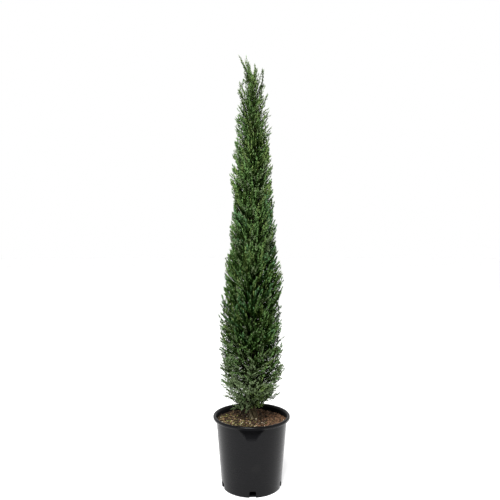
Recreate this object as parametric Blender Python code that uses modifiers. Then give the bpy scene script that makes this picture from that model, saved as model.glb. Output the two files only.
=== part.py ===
"""Potted Italian cypress: a narrow upright tree in a round nursery pot.

Metres, +Z up, the front towards -Y. The origin is the centre of the pot's flat
underside. Each solid is worked out from the named sizes below: the pot is a
turned shell, the trunk and boughs are lofted limbs, and the crown is built in
tiers of upright plumes that stand round the trunk like shingles.
"""

import math

import bpy
import numpy as np

SEED = 11
GAP = 0.0003  # clearance between pieces that touch

# Pot
POT_HEIGHT = 0.272
RIM_RADIUS = 0.150
LIP_DROP = 0.0125  # height of the rolled rim
FOOT_RADIUS = 0.1158
WALL_SLOPE = 0.0847  # growth of the outer radius per metre of height
WALL = 0.0024
FLOOR = 0.006
FOOT_CHAMFER = 0.0015
POT_STEPS = 44

# Section of the rolled rim, from its crest outwards and down: how far inside the
# rim's edge, and how far below the top
RIM_SECTION = (
    (0.0055, 0.0),
    (0.0022, 0.0014),
    (0.0, 0.0050),
    (0.0003, 0.0090),
    (0.0028, LIP_DROP),
)
RIM_INNER_EDGE = (0.0012, 0.0030)  # inside the wall's line, and below the top

# Drain holes, cut through the lower corner of the wall
DRAIN_COUNT = 5
DRAIN_FIRST_DEG = -88.0
DRAIN_WIDTH = 0.025
DRAIN_TOP = 0.0255
DRAIN_INNER_RADIUS = 0.108

# Grip scoops, pressed into the wall under the rim
SCOOP_DIRECTIONS_DEG = (-90.0, 90.0)
SCOOP_HEIGHT = 0.034
SCOOP_TOP_HALF_WIDTH = 0.036
SCOOP_LOW_HALF_WIDTH = 0.019
SCOOP_DEPTH = 0.0065
SCOOP_BACKING_RADIUS = 0.1340  # inside the wall's outer face all the way up
CUTTER_EXTRA = 0.010  # how far the cutters run past the wall

# Potting mix
SOIL_AT_TRUNK = 0.2570
SOIL_AT_WALL = 0.2545
SOIL_UNEVEN = 0.0016
SOIL_RADII = (0.112, 0.088, 0.062, 0.034)  # rings of its top, the last one level
SOIL_STEPS = 36

# Trunk: height, offset to the right, offset to the back, radius
TRUNK_FOOT = SOIL_AT_TRUNK + GAP
TRUNK_TOP = 1.560
TRUNK_AXIS = (
    (TRUNK_FOOT, 0.0060, 0.000),
    (0.300, 0.0035, 0.000),
    (0.350, 0.0020, 0.001),
    (0.500, 0.0020, 0.002),
    (0.800, 0.0045, 0.001),
    (1.100, 0.0075, 0.000),
    (1.300, 0.0065, 0.000),
    (1.450, 0.0020, 0.000),
    (TRUNK_TOP, -0.0050, 0.000),
)
TRUNK_RADII = (
    (TRUNK_FOOT, 0.0195),
    (0.268, 0.0160),
    (0.290, 0.0132),
    (0.340, 0.0118),
    (0.600, 0.0098),
    (1.000, 0.0068),
    (1.350, 0.0042),
    (TRUNK_TOP, 0.0024),
)
TRUNK_SIDES = 12
TRUNK_RINGS = 18
RING_CROWDING = 2.0  # over 1 to bring the rings closer together near the foot
FLUTES = 3
FLUTE_TURN = 0.9
FLUTE_DEPTH = 0.16  # share of the radius, at the foot
FLUTE_FADE = 0.045  # height over which the flutes die out

# Crown outline: height, reach from the pot's axis to the left and to the right
CROWN_OUTLINE = (
    (0.300, 0.084, 0.080),
    (0.390, 0.104, 0.104),
    (0.460, 0.114, 0.118),
    (0.600, 0.118, 0.112),
    (0.740, 0.108, 0.114),
    (0.840, 0.104, 0.104),
    (0.930, 0.089, 0.096),
    (1.030, 0.083, 0.091),
    (1.120, 0.076, 0.085),
    (1.210, 0.077, 0.079),
    (1.310, 0.067, 0.073),
    (1.400, 0.051, 0.065),
    (1.500, 0.046, 0.054),
    (1.570, 0.045, 0.050),
    (1.680, 0.050, 0.040),
)

REACH_ROUNDS = 8  # rounds that find where a rising layer meets the outline

# Branch angle: rise of the layers per metre outwards, by height on the trunk
BRANCH_RISE = ((0.335, -0.28), (0.400, 0.0), (0.470, 1.0), (0.640, 2.1), (1.680, 2.3))

# Tiers of plumes: name, level where they leave the trunk, how far that level goes
# up and down round the trunk, its waves round the trunk and their phase, number
# of plumes, and the first plume's azimuth
TIERS = (
    ("skirt", 0.397, 0.010, 2, 0.4, 8, 4.0),
    ("low", 0.500, 0.020, 2, 1.0, 8, 26.0),
    ("middle", 0.690, 0.027, 2, 3.1, 7, 8.0),
    ("upper", 0.925, 0.026, 2, 5.0, 6, 30.0),
    ("top", 1.170, 0.022, 2, 1.2, 6, -10.0),
)
TIER_GAP = 0.0150
PLUME_FILL = 0.965  # share of its sector that a plume fills
INNER_CLEARANCE = 0.0007  # between the plumes and the trunk
INNER_ANGLE_SHARE = 0.4  # half the angle that a face of the inner side covers, at most
PLUME_LEVELS = (0.0, 0.16, 0.40, 0.70, 1.0)
PLUME_SPREAD = 0.22  # largest change of a plume's width, as a share of it
TIP_LEVELS = 3
TIP_WIDTHS = (0.95, 0.20)  # share of the plume's angle at a tip's foot and point
TIP_STEP = 0.001  # from the plume's body to the first section of its tip
TIP_RISE = 0.060  # how far a plume's tip may run up outside the next tier
TIP_RISE_SHARE = (0.55, 0.95)  # least and most of that rise
TIP_INNER_SHARE = 0.72  # the next tier's share of the reach behind those tips
TIP_CLEARANCE = 0.002
TIP_FOOT_PROUD = 0.01  # how far the tips stand out at their foot, as a share of the reach
TIP_PROUD = (0.02, 0.10)  # how much further they stand out at their point
UNEVEN_SHARE = 0.05
UNEVEN_WAVES = (25.0, 45.0)  # radians per metre of height
FOOT_REACH = 0.045  # radius of the point that closes a plume's lower end
SKIRT_SWELL = ((0.0, 0.80), (0.16, 0.96), (0.40, 1.0))  # share of the reach, by length

# Tips of the top tier's plumes: reach from the tree's axis, and height
TOP_TIPS = (
    (0.050, 1.624),
    (0.028, 1.652),
    (0.040, 1.670),
    (0.042, 1.581),
    (0.040, 1.566),
    (0.048, 1.602),
)
TOP_LEVELS = 8
DRAW_START = 0.55  # share of a top plume's length where it starts to narrow
DRAW_POWER = 1.6
DRAWN_WIDTH = 0.2  # share of its angle that is left at the tip
TIP_THICKNESS = 0.005

# Leader, the curved shoot above the trunk: height, offset to the right, radius
LEADER = (
    (TRUNK_TOP + GAP, -0.0050, 0.0055),
    (1.580, -0.0095, 0.0105),
    (1.605, -0.0160, 0.0100),
    (1.640, -0.0290, 0.0075),
    (1.665, -0.0400, 0.0045),
    (1.681, -0.0470, 0.0018),
)
LEADER_SIDES = 8
LEADER_RINGS = 8
LEADER_CLEARANCE = 0.014
LEADER_ZONE = 1.554  # height above which the plumes keep clear of the leader

# A plume's section, anticlockwise: share of its depth and share of its half angle
PLUME_SECTION = (
    (0.00, 0.78),
    (0.00, 0.00),
    (0.00, -0.78),
    (0.70, -1.00),
    (0.90, -0.86),
    (0.985, -0.48),
    (1.00, 0.00),
    (0.985, 0.48),
    (0.90, 0.86),
    (0.70, 1.00),
)

# Fringe under the crown, a mass to each sixth of the circle, anticlockwise from
# the right: name, its lowest level on the trunk, and its reach
FRINGE = (
    ("right", 0.366, 0.110),
    ("back_right", 0.346, 0.086),
    ("back_left", 0.342, 0.090),
    ("left", 0.338, 0.102),
    ("front_left", 0.344, 0.088),
    ("front_right", 0.356, 0.074),
)
MOUTH_GAP = 0.00045  # between a bough's end and the underside of its mass
FRINGE_SWELL = ((0.0, 0.62), (0.35, 0.90), (0.70, 1.0), (1.0, 0.88))

# Low boughs, one to each mass of the fringe
BOUGH_START = 0.284  # height of the first on the trunk's axis
BOUGH_STEP = 0.004
BOUGH_REACH = 0.52  # share of the mass's reach where the bough enters it
BOUGH_RADII = (0.0048, 0.0028)
BOUGH_OVERLAP = 0.006  # how far it runs into the mass before it's cut back
BOUGH_BEND = 0.8  # under 1 to rise steeply from the trunk
BOUGH_ZONE = (0.262, 0.420)  # heights of the trunk that the boughs are cut to
BOUGH_SIDES = 6
BOUGH_RINGS = 5

COLOURS = {
    "pot": (0.028, 0.028, 0.032),
    "potting_mix": (0.110, 0.065, 0.035),
    "bark": (0.150, 0.105, 0.065),
    "foliage": (0.070, 0.115, 0.050),
}
ROUGHNESS = {"pot": 0.42, "potting_mix": 0.95, "bark": 0.90, "foliage": 0.85}


def clear_scene():
    """Removes the objects that a new scene starts with."""
    for obj in list(bpy.data.objects):
        bpy.data.objects.remove(obj)


def make_collection(name, helper=False):
    """Returns a new collection of the scene, left out of renders if it's a helper."""
    collection = bpy.data.collections.new(name)
    bpy.context.scene.collection.children.link(collection)
    collection.hide_render = helper
    return collection


def make_material(name):
    """Returns the Principled material of one of the named finishes."""
    material = bpy.data.materials.new(name)
    material.use_nodes = True
    shader = material.node_tree.nodes["Principled BSDF"]
    shader.inputs["Base Color"].default_value = (*COLOURS[name], 1.0)
    shader.inputs["Roughness"].default_value = ROUGHNESS[name]
    shader.inputs["Metallic"].default_value = 0.0
    return material


def make_object(name, points, faces, collection, material=None):
    """Returns a mesh object of these points and faces."""
    mesh = bpy.data.meshes.new(name)
    mesh.from_pydata([tuple(map(float, point)) for point in points], [], faces)
    mesh.validate()
    mesh.update()
    obj = bpy.data.objects.new(name, mesh)
    collection.objects.link(obj)
    if material is None:
        obj.hide_render = True
        obj.display_type = "WIRE"
    else:
        mesh.materials.append(material)
    return obj


def cut(obj, cutter, operation="DIFFERENCE"):
    """Adds an exact Boolean of the cutter to the object."""
    modifier = obj.modifiers.new(f"{operation.lower()}_{cutter.name}", "BOOLEAN")
    modifier.operation = operation
    modifier.solver = "EXACT"
    modifier.object = cutter


def from_table(rows, column, height):
    """Returns a column of a table that starts with heights, read at a height."""
    table = np.array(rows)
    return np.interp(height, table[:, 0], table[:, column])


def loft(rings, foot=None):
    """Returns the points and faces of a closed body through rings of points.

    The rings run bottom to top and each runs anticlockwise from above. A fan
    closes each end, round foot or the middle of the first ring, and round the
    middle of the last.
    """
    sides = len(rings[0])
    foot = rings[0].mean(0) if foot is None else foot
    points = np.concatenate(list(rings) + [[foot], [rings[-1].mean(0)]])
    low_middle = len(points) - 2
    high_middle = len(points) - 1
    last = (len(rings) - 1) * sides
    faces = []
    for side in range(sides):
        after = (side + 1) % sides
        for start in range(0, last, sides):
            above = start + sides
            faces.append((start + side, start + after, above + after, above + side))
        faces.append((low_middle, after, side))
        faces.append((high_middle, last + side, last + after))
    return points, faces


def wall_radius(height):
    """Outer radius of the pot's wall at a height."""
    return FOOT_RADIUS + WALL_SLOPE * height


def pot_profile():
    """Half section of the pot, from the inner floor over the rim to the underside."""
    lip_low = POT_HEIGHT - LIP_DROP
    inner_foot = wall_radius(FLOOR) - WALL
    inside, below = RIM_INNER_EDGE
    inner = (
        (0.0, FLOOR),
        (inner_foot, FLOOR),
        (wall_radius(lip_low) - WALL, lip_low),
        (wall_radius(POT_HEIGHT) - inside, POT_HEIGHT - below),
        (wall_radius(POT_HEIGHT) + inside, POT_HEIGHT - below / 4),
    )
    rim = tuple((RIM_RADIUS - inside, POT_HEIGHT - below) for inside, below in RIM_SECTION)
    outer = (
        (wall_radius(lip_low), lip_low),
        (wall_radius(FOOT_CHAMFER), FOOT_CHAMFER),
        (FOOT_RADIUS - FOOT_CHAMFER, 0.0),
        (0.0, 0.0),
    )
    return inner + rim + outer


def turn(name, profile, collection, material):
    """Returns the object that a half section makes when it turns round Z."""
    points = [(radius, 0.0, height) for radius, height in profile]
    edges = [(index, index + 1) for index in range(len(points) - 1)]
    mesh = bpy.data.meshes.new(name)
    mesh.from_pydata(points, edges, [])
    mesh.materials.append(material)
    obj = bpy.data.objects.new(name, mesh)
    collection.objects.link(obj)
    screw = obj.modifiers.new("turn", "SCREW")
    screw.steps = POT_STEPS
    screw.render_steps = POT_STEPS
    screw.use_merge_vertices = True
    screw.merge_threshold = 0.0001
    return obj


def turned_block(direction_deg, corners):
    """Returns a block through 8 corners, turned so that +X meets the direction.

    The corners are the lower four, then the upper four, each anticlockwise.
    """
    angle = math.radians(direction_deg)
    turn_matrix = np.array(
        (
            (math.cos(angle), -math.sin(angle), 0.0),
            (math.sin(angle), math.cos(angle), 0.0),
            (0.0, 0.0, 1.0),
        )
    )
    points = np.array(corners) @ turn_matrix.T
    faces = [(3, 2, 1, 0), (4, 5, 6, 7)]
    for side in range(4):
        after = (side + 1) % 4
        faces.append((side, after, after + 4, side + 4))
    return points, faces


def drain_cutter(direction_deg):
    """Block that cuts one drain hole through the lower corner of the wall."""
    half = DRAIN_WIDTH / 2
    inner = DRAIN_INNER_RADIUS
    outer = FOOT_RADIUS + CUTTER_EXTRA
    square = ((inner, -half), (outer, -half), (outer, half), (inner, half))
    low = [(x, y, -CUTTER_EXTRA) for x, y in square]
    high = [(x, y, DRAIN_TOP) for x, y in square]
    return turned_block(direction_deg, low + high)


def scoop_block(direction_deg, inner_shift, outer, margin):
    """Block in the shape of a grip scoop.

    Its inner face slopes from the wall at the scoop's foot to the full depth
    under the rim. inner_shift moves that face inwards, outer is the radius of
    the outer face, and margin widens the block at each side and at its foot.
    """
    top = POT_HEIGHT - LIP_DROP
    low = top - SCOOP_HEIGHT
    slope = SCOOP_DEPTH / SCOOP_HEIGHT
    low_inner = wall_radius(low) - inner_shift + slope * margin
    top_inner = wall_radius(top) - SCOOP_DEPTH - inner_shift
    low_half = SCOOP_LOW_HALF_WIDTH + margin
    top_half = SCOOP_TOP_HALF_WIDTH + margin
    corners = (
        (low_inner, -low_half, low - margin),
        (outer, -low_half, low - margin),
        (outer, low_half, low - margin),
        (low_inner, low_half, low - margin),
        (top_inner, -top_half, top),
        (outer, -top_half, top),
        (outer, top_half, top),
        (top_inner, top_half, top),
    )
    return turned_block(direction_deg, corners)


def soil_top(radius, azimuth):
    """Height of the potting mix, level under the trunk and uneven towards the wall."""
    level_radius = SOIL_RADII[-1]
    wall = wall_radius(SOIL_AT_WALL) - WALL
    share = np.clip((radius - level_radius) / (wall - level_radius), 0.0, 1.0)
    waves = np.sin(3 * azimuth + 1.0) + np.sin(5 * azimuth + 40 * radius + 2.0)
    fall = (SOIL_AT_WALL - SOIL_AT_TRUNK) * share
    return SOIL_AT_TRUNK + fall + SOIL_UNEVEN * waves * np.sin(math.pi * share)


def soil_rings():
    """Rings of the potting mix, up its side and then in over its uneven top."""
    azimuth = np.linspace(0.0, 2 * math.pi, SOIL_STEPS, endpoint=False)
    inside = math.cos(math.pi / POT_STEPS)
    sections = []
    for height in (FLOOR + GAP, SOIL_AT_WALL):
        radius = (wall_radius(height) - WALL) * inside - 2 * GAP
        sections.append((radius, np.full(SOIL_STEPS, height)))
    for radius in SOIL_RADII:
        sections.append((radius, soil_top(radius, azimuth)))
    rings = []
    for radius, height in sections:
        ring = (radius * np.cos(azimuth), radius * np.sin(azimuth), height)
        rings.append(np.column_stack(ring))
    return rings


def round_axis(radius, azimuth, height):
    """Points at these radii, azimuths and heights round the tree's axis."""
    x = from_table(TRUNK_AXIS, 1, height) + radius * np.cos(azimuth)
    y = from_table(TRUNK_AXIS, 2, height) + radius * np.sin(azimuth)
    return np.stack(np.broadcast_arrays(x, y, height), axis=-1)


def trunk_rings(low, high, extra=0.0):
    """Rings of the trunk, closer together near its fluted foot, and wider by extra."""
    azimuth = np.linspace(0.0, 2 * math.pi, TRUNK_SIDES, endpoint=False)
    rings = []
    for share in np.linspace(0.0, 1.0, TRUNK_RINGS) ** RING_CROWDING:
        height = low + (high - low) * share
        fade = math.exp(-abs(height - TRUNK_FOOT) / FLUTE_FADE)
        flutes = 1.0 + FLUTE_DEPTH * fade * np.cos(FLUTES * azimuth + FLUTE_TURN)
        radius = from_table(TRUNK_RADII, 1, height) * flutes + extra
        rings.append(round_axis(radius, azimuth, height))
    return rings


def branch_rise(level):
    """Rise of the layer that leaves the trunk at a level, per metre outwards."""
    return from_table(BRANCH_RISE, 1, level)


def crown_reach(azimuth, level):
    """Distance from the tree's axis to the crown's surface, along a layer.

    The layer's height depends on that distance, so it is worked out in rounds.
    """
    reach = 0.0
    for _ in range(REACH_ROUNDS):
        height = level + branch_rise(level) * reach
        lean = from_table(TRUNK_AXIS, 1, height)
        left = from_table(CROWN_OUTLINE, 1, height) + lean
        right = from_table(CROWN_OUTLINE, 2, height) - lean
        reach = (left + right) / 2 + (right - left) / 2 * np.cos(azimuth)
    return reach


def on_layer(radius, azimuth, level):
    """Points at these radii and azimuths round the tree's axis, on a layer."""
    return round_axis(radius, azimuth, level + branch_rise(level) * radius)


def tier_start(tier, azimuth):
    """Level where a tier leaves the trunk, which goes up and down round the trunk."""
    _, level, swing, waves, phase, _, _ = TIERS[tier]
    return level + swing * np.sin(waves * azimuth + phase)


def tip_border(azimuth, level, start):
    """Radius between a tier that starts at a level and the tips of the tier below."""
    share = TIP_INNER_SHARE + (1.0 - TIP_INNER_SHARE) * (level - start) / TIP_RISE
    return crown_reach(azimuth, level) * np.maximum(share, TIP_INNER_SHARE)


class Plume:
    """An upright mass of foliage that fills a sector of a tier."""

    def __init__(self, tier, middle, half, random):
        """Takes the tier's number, the sector's azimuth and half of its angle."""
        self.tier = tier
        self.middle = middle
        self.half = half
        self.section = np.array(PLUME_SECTION)
        self.waves = (random.uniform(*UNEVEN_WAVES), random.uniform(0.0, 2 * math.pi))
        self.proud = random.uniform(*TIP_PROUD)
        self.rise = TIP_RISE * random.uniform(*TIP_RISE_SHARE)

    def azimuths(self, width=1.0):
        """Azimuths of a section's points, at a share of the sector's width."""
        return self.middle + self.half * PLUME_FILL * width * self.section[:, 1]

    def inner(self, level):
        """Radius of the inner side, which clears the trunk, and then the leader."""
        height = level + branch_rise(level) * LEADER_CLEARANCE
        trunk = from_table(TRUNK_RADII, 1, height)
        radius = np.where(height > LEADER_ZONE, LEADER_CLEARANCE, trunk)
        return (radius + INNER_CLEARANCE) / math.cos(INNER_ANGLE_SHARE * self.half)

    def outer(self, azimuth, level, start):
        """Radius of the outer side: the crown's surface, or behind the tips below."""
        frequency, phase = self.waves
        outer = crown_reach(azimuth, level)
        outer = outer * (1.0 + UNEVEN_SHARE * np.sin(frequency * level + phase))
        if self.tier == 0:
            return outer
        border = tip_border(azimuth, level, start) - TIP_CLEARANCE
        return np.where(level < start + TIP_RISE, np.minimum(outer, border), outer)

    def ring(self, azimuth, level, inner, outer):
        """Section of the plume on a layer, between two radii."""
        radius = inner + self.section[:, 0] * (outer - inner)
        return on_layer(radius, azimuth, level)

    def foot(self):
        """Point in the middle of the plume's lower end."""
        return on_layer(FOOT_REACH, self.middle, tier_start(self.tier, self.middle))

    def tier_rings(self):
        """Rings of a plume with a tip that covers the foot of the next tier."""
        azimuth = self.azimuths()
        start = tier_start(self.tier, azimuth)
        end = tier_start(self.tier + 1, azimuth) - TIER_GAP
        rings = []
        for share in PLUME_LEVELS:
            level = start + (end - start) * share
            swell = from_table(SKIRT_SWELL, 1, share) if self.tier == 0 else 1.0
            outer = self.outer(azimuth, level, start) * swell
            rings.append(self.ring(azimuth, level, self.inner(level), outer))
        for share in np.linspace(0.0, 1.0, TIP_LEVELS):
            azimuth = self.azimuths(np.interp(share, (0.0, 1.0), TIP_WIDTHS))
            border = tier_start(self.tier + 1, azimuth)
            level = border - TIER_GAP + TIP_STEP + self.rise * share
            inner = tip_border(azimuth, level, border) + TIP_CLEARANCE
            outer = crown_reach(azimuth, level) * (1.0 + TIP_FOOT_PROUD + self.proud * share)
            inner = np.minimum(inner, outer - TIP_THICKNESS)
            rings.append(self.ring(azimuth, level, inner, outer))
        return rings

    def fringe_rings(self, low, reach):
        """Rings of a mass of the fringe, from its lowest level up to the skirt."""
        azimuth = self.azimuths()
        end = tier_start(0, azimuth) - TIER_GAP
        rings = []
        for share, swell in FRINGE_SWELL:
            level = low + (end - low) * share
            rings.append(self.ring(azimuth, level, self.inner(level), reach * swell))
        return rings

    def top_rings(self, tip):
        """Rings of a plume of the top tier, drawn together to (reach, height)."""
        reach, height = tip
        rings = []
        for share in np.linspace(0.0, 1.0, TOP_LEVELS):
            draw = max(0.0, (share - DRAW_START) / (1.0 - DRAW_START)) ** DRAW_POWER
            azimuth = self.azimuths(1.0 - (1.0 - DRAWN_WIDTH) * draw)
            start = tier_start(self.tier, azimuth)
            level = start + (height - branch_rise(height) * reach - start) * share
            outer = self.outer(azimuth, level, start)
            outer = outer * (1.0 - draw) + (reach + TIP_THICKNESS / 2) * draw
            inner = self.inner(level) * (1.0 - draw) + (reach - TIP_THICKNESS / 2) * draw
            rings.append(self.ring(azimuth, level, inner, outer))
        return rings


def leader_rings():
    """Rings of the curved shoot above the trunk's top."""
    azimuth = np.linspace(0.0, 2 * math.pi, LEADER_SIDES, endpoint=False)
    rings = []
    for height in np.linspace(LEADER[0][0], LEADER[-1][0], LEADER_RINGS):
        radius = from_table(LEADER, 2, height)
        x = from_table(LEADER, 1, height) + radius * np.cos(azimuth)
        y = radius * np.sin(azimuth)
        rings.append(np.column_stack((x, y, np.full(LEADER_SIDES, height))))
    return rings


def limb(path, radii, sides):
    """Rings of a round limb along a path that lies in one upright plane."""
    angle = np.linspace(0.0, 2 * math.pi, sides, endpoint=False)
    along = np.gradient(path, axis=0)
    along /= np.linalg.norm(along, axis=1)[:, None]
    rings = []
    for point, direction, radius in zip(path, along, radii):
        across = np.array((-direction[1], direction[0], 0.0))
        across /= np.linalg.norm(across)
        over = np.cross(direction, across)
        ring = np.cos(angle)[:, None] * across + np.sin(angle)[:, None] * over
        rings.append(point + radius * ring)
    return rings


def bough_rings(plume, start, low, reach):
    """Rings of the bough that runs from inside the trunk up into a mass of the fringe."""
    share = np.linspace(0.0, 1.0, BOUGH_RINGS)
    radius = reach * BOUGH_REACH * share
    end = low + branch_rise(low) * radius[-1] + BOUGH_OVERLAP
    height = start + (end - start) * share**BOUGH_BEND
    thickness = BOUGH_RADII[0] + (BOUGH_RADII[1] - BOUGH_RADII[0]) * share
    return limb(round_axis(radius, plume.middle, height), thickness, BOUGH_SIDES)


def build_pot(parts, helpers, material):
    """Makes the pot: a turned shell, grip scoops under the rim, and drain holes."""
    pot = turn("pot", pot_profile(), parts, material)
    for number, direction in enumerate(SCOOP_DIRECTIONS_DEG, 1):
        backing = scoop_block(direction, WALL, SCOOP_BACKING_RADIUS, WALL)
        cut(pot, make_object(f"scoop_{number}_backing", *backing, helpers), "UNION")
        hollow = scoop_block(direction, 0.0, RIM_RADIUS + CUTTER_EXTRA, 0.0)
        cut(pot, make_object(f"scoop_{number}_hollow", *hollow, helpers))
    for number in range(DRAIN_COUNT):
        direction = DRAIN_FIRST_DEG + 360.0 / DRAIN_COUNT * number
        cut(pot, make_object(f"drain_{number + 1}", *drain_cutter(direction), helpers))


def build_soil(parts, helpers, material):
    """Makes the potting mix, which leaves room for the backs of the grip scoops."""
    soil = make_object("potting_mix", *loft(soil_rings()), parts, material)
    for number, direction in enumerate(SCOOP_DIRECTIONS_DEG, 1):
        room = scoop_block(direction, WALL + GAP, RIM_RADIUS, WALL + GAP)
        cut(soil, make_object(f"scoop_{number}_room", *room, helpers))


def build_fringe(parts, helpers, bark, foliage, random):
    """Makes the low masses that hang under the crown, and the boughs that carry them."""
    room = make_object("trunk_room", *loft(trunk_rings(*BOUGH_ZONE, GAP)), helpers)
    half = math.pi / len(FRINGE)
    for number, (name, low, reach) in enumerate(FRINGE):
        plume = Plume(0, 2 * half * number, half, random)
        foot = on_layer(FOOT_REACH, plume.middle, low)
        points, faces = loft(plume.fringe_rings(low, reach), foot)
        make_object(f"foliage_fringe_{name}", points, faces, parts, foliage)
        lowered = points - np.array((0.0, 0.0, MOUTH_GAP))
        mouth = make_object(f"mouth_{name}", lowered, faces, helpers)
        rings = bough_rings(plume, BOUGH_START + BOUGH_STEP * number, low, reach)
        bough = make_object(f"bough_{name}", *loft(rings), parts, bark)
        cut(bough, room)
        cut(bough, mouth)


def sectors(count, first, random):
    """Returns the azimuth and the half angle of each of a tier's uneven sectors."""
    widths = 1.0 + random.uniform(-PLUME_SPREAD, PLUME_SPREAD, count)
    widths *= 2 * math.pi / widths.sum()
    edges = math.radians(first) - widths[0] / 2 + np.append(0.0, np.cumsum(widths))
    return list(zip((edges[:-1] + edges[1:]) / 2, widths / 2))


def build_crown(parts, foliage, random):
    """Makes the tiers of plumes round the trunk, and the leader above it."""
    top = len(TIERS) - 1
    for tier, (name, *_, count, first) in enumerate(TIERS):
        for number, (middle, half) in enumerate(sectors(count, first, random)):
            plume = Plume(tier, middle, half, random)
            rings = plume.top_rings(TOP_TIPS[number]) if tier == top else plume.tier_rings()
            body = loft(rings, plume.foot())
            make_object(f"foliage_{name}_{number + 1}", *body, parts, foliage)
    make_object("foliage_leader", *loft(leader_rings()), parts, foliage)


def main():
    """Builds the potted tree."""
    clear_scene()
    parts = make_collection("potted_italian_cypress")
    helpers = make_collection("helpers", helper=True)
    bark = make_material("bark")
    foliage = make_material("foliage")
    random = np.random.default_rng(SEED)
    build_pot(parts, helpers, make_material("pot"))
    build_soil(parts, helpers, make_material("potting_mix"))
    make_object("trunk", *loft(trunk_rings(TRUNK_FOOT, TRUNK_TOP)), parts, bark)
    build_fringe(parts, helpers, bark, foliage, random)
    build_crown(parts, foliage, random)


main()
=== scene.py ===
"""Looks of a potted Italian cypress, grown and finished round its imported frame.

Metres, +Z up, the front towards -Y. The frame holds the pot, the potting mix, the
trunk, six low boughs and the masses of foliage as plain solids. Here the pot, the mix
and the wood get their fine surfaces, and each mass is grown again as limbs, twigs and
sprays of scale leaves whose tips reach the skin of the solid.
"""

import logging
import math
from dataclasses import dataclass, field
from enum import Enum

import bpy
import numpy as np
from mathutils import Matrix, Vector
from mathutils.bvhtree import BVHTree


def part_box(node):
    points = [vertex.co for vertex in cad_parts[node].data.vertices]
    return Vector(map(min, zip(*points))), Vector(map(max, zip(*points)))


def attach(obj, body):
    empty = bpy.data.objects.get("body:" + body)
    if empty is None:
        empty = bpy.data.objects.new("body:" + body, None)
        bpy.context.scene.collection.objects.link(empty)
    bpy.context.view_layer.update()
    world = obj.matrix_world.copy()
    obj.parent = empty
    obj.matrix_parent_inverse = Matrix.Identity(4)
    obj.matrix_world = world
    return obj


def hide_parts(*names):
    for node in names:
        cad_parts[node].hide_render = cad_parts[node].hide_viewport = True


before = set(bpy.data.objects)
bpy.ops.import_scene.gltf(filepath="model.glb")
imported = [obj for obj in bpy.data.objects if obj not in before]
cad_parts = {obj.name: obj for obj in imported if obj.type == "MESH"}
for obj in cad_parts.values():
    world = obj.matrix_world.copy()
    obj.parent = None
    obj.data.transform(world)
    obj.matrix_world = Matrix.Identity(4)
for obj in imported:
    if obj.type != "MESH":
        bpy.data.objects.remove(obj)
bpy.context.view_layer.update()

Array = np.ndarray
Triple = tuple[float, float, float]
Colour = Triple

LOG = logging.getLogger("cypress")
FULL_TURN = 2.0 * math.pi
GOLDEN_ANGLE = math.radians(137.5)


# Shader graphs


class Signal:
    """A number in a shader, which takes part in arithmetic."""

    def __init__(self, graph: "Graph", socket: bpy.types.NodeSocket) -> None:
        """Wraps an output socket of the graph."""
        self.graph = graph
        self.socket = socket

    def _maths(self, operation: str, first: object, second: object) -> "Signal":
        """Result of a Math node on two numbers or signals."""
        values = {0: first, 1: second}
        return self.graph.read("ShaderNodeMath", 0, {"operation": operation}, values)

    def __add__(self, other: object) -> "Signal":
        """Sum with a number or signal."""
        return self._maths("ADD", self, other)

    __radd__ = __add__

    def __sub__(self, other: object) -> "Signal":
        """This less a number or signal."""
        return self._maths("SUBTRACT", self, other)

    def __rsub__(self, other: object) -> "Signal":
        """A number less this."""
        return self._maths("SUBTRACT", other, self)

    def __mul__(self, other: object) -> "Signal":
        """Product with a number or signal."""
        return self._maths("MULTIPLY", self, other)

    __rmul__ = __mul__

    def above(self, low: float, high: float) -> "Signal":
        """Smooth step from 0 at low to 1 at high.

        Args:
            low: where the step starts.
            high: where it ends.

        Returns:
            The step, from 0 to 1.
        """
        settings = {"interpolation_type": "SMOOTHSTEP"}
        values = {"Value": self, "From Min": low, "From Max": high}
        return self.graph.read("ShaderNodeMapRange", "Result", settings, values)


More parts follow.
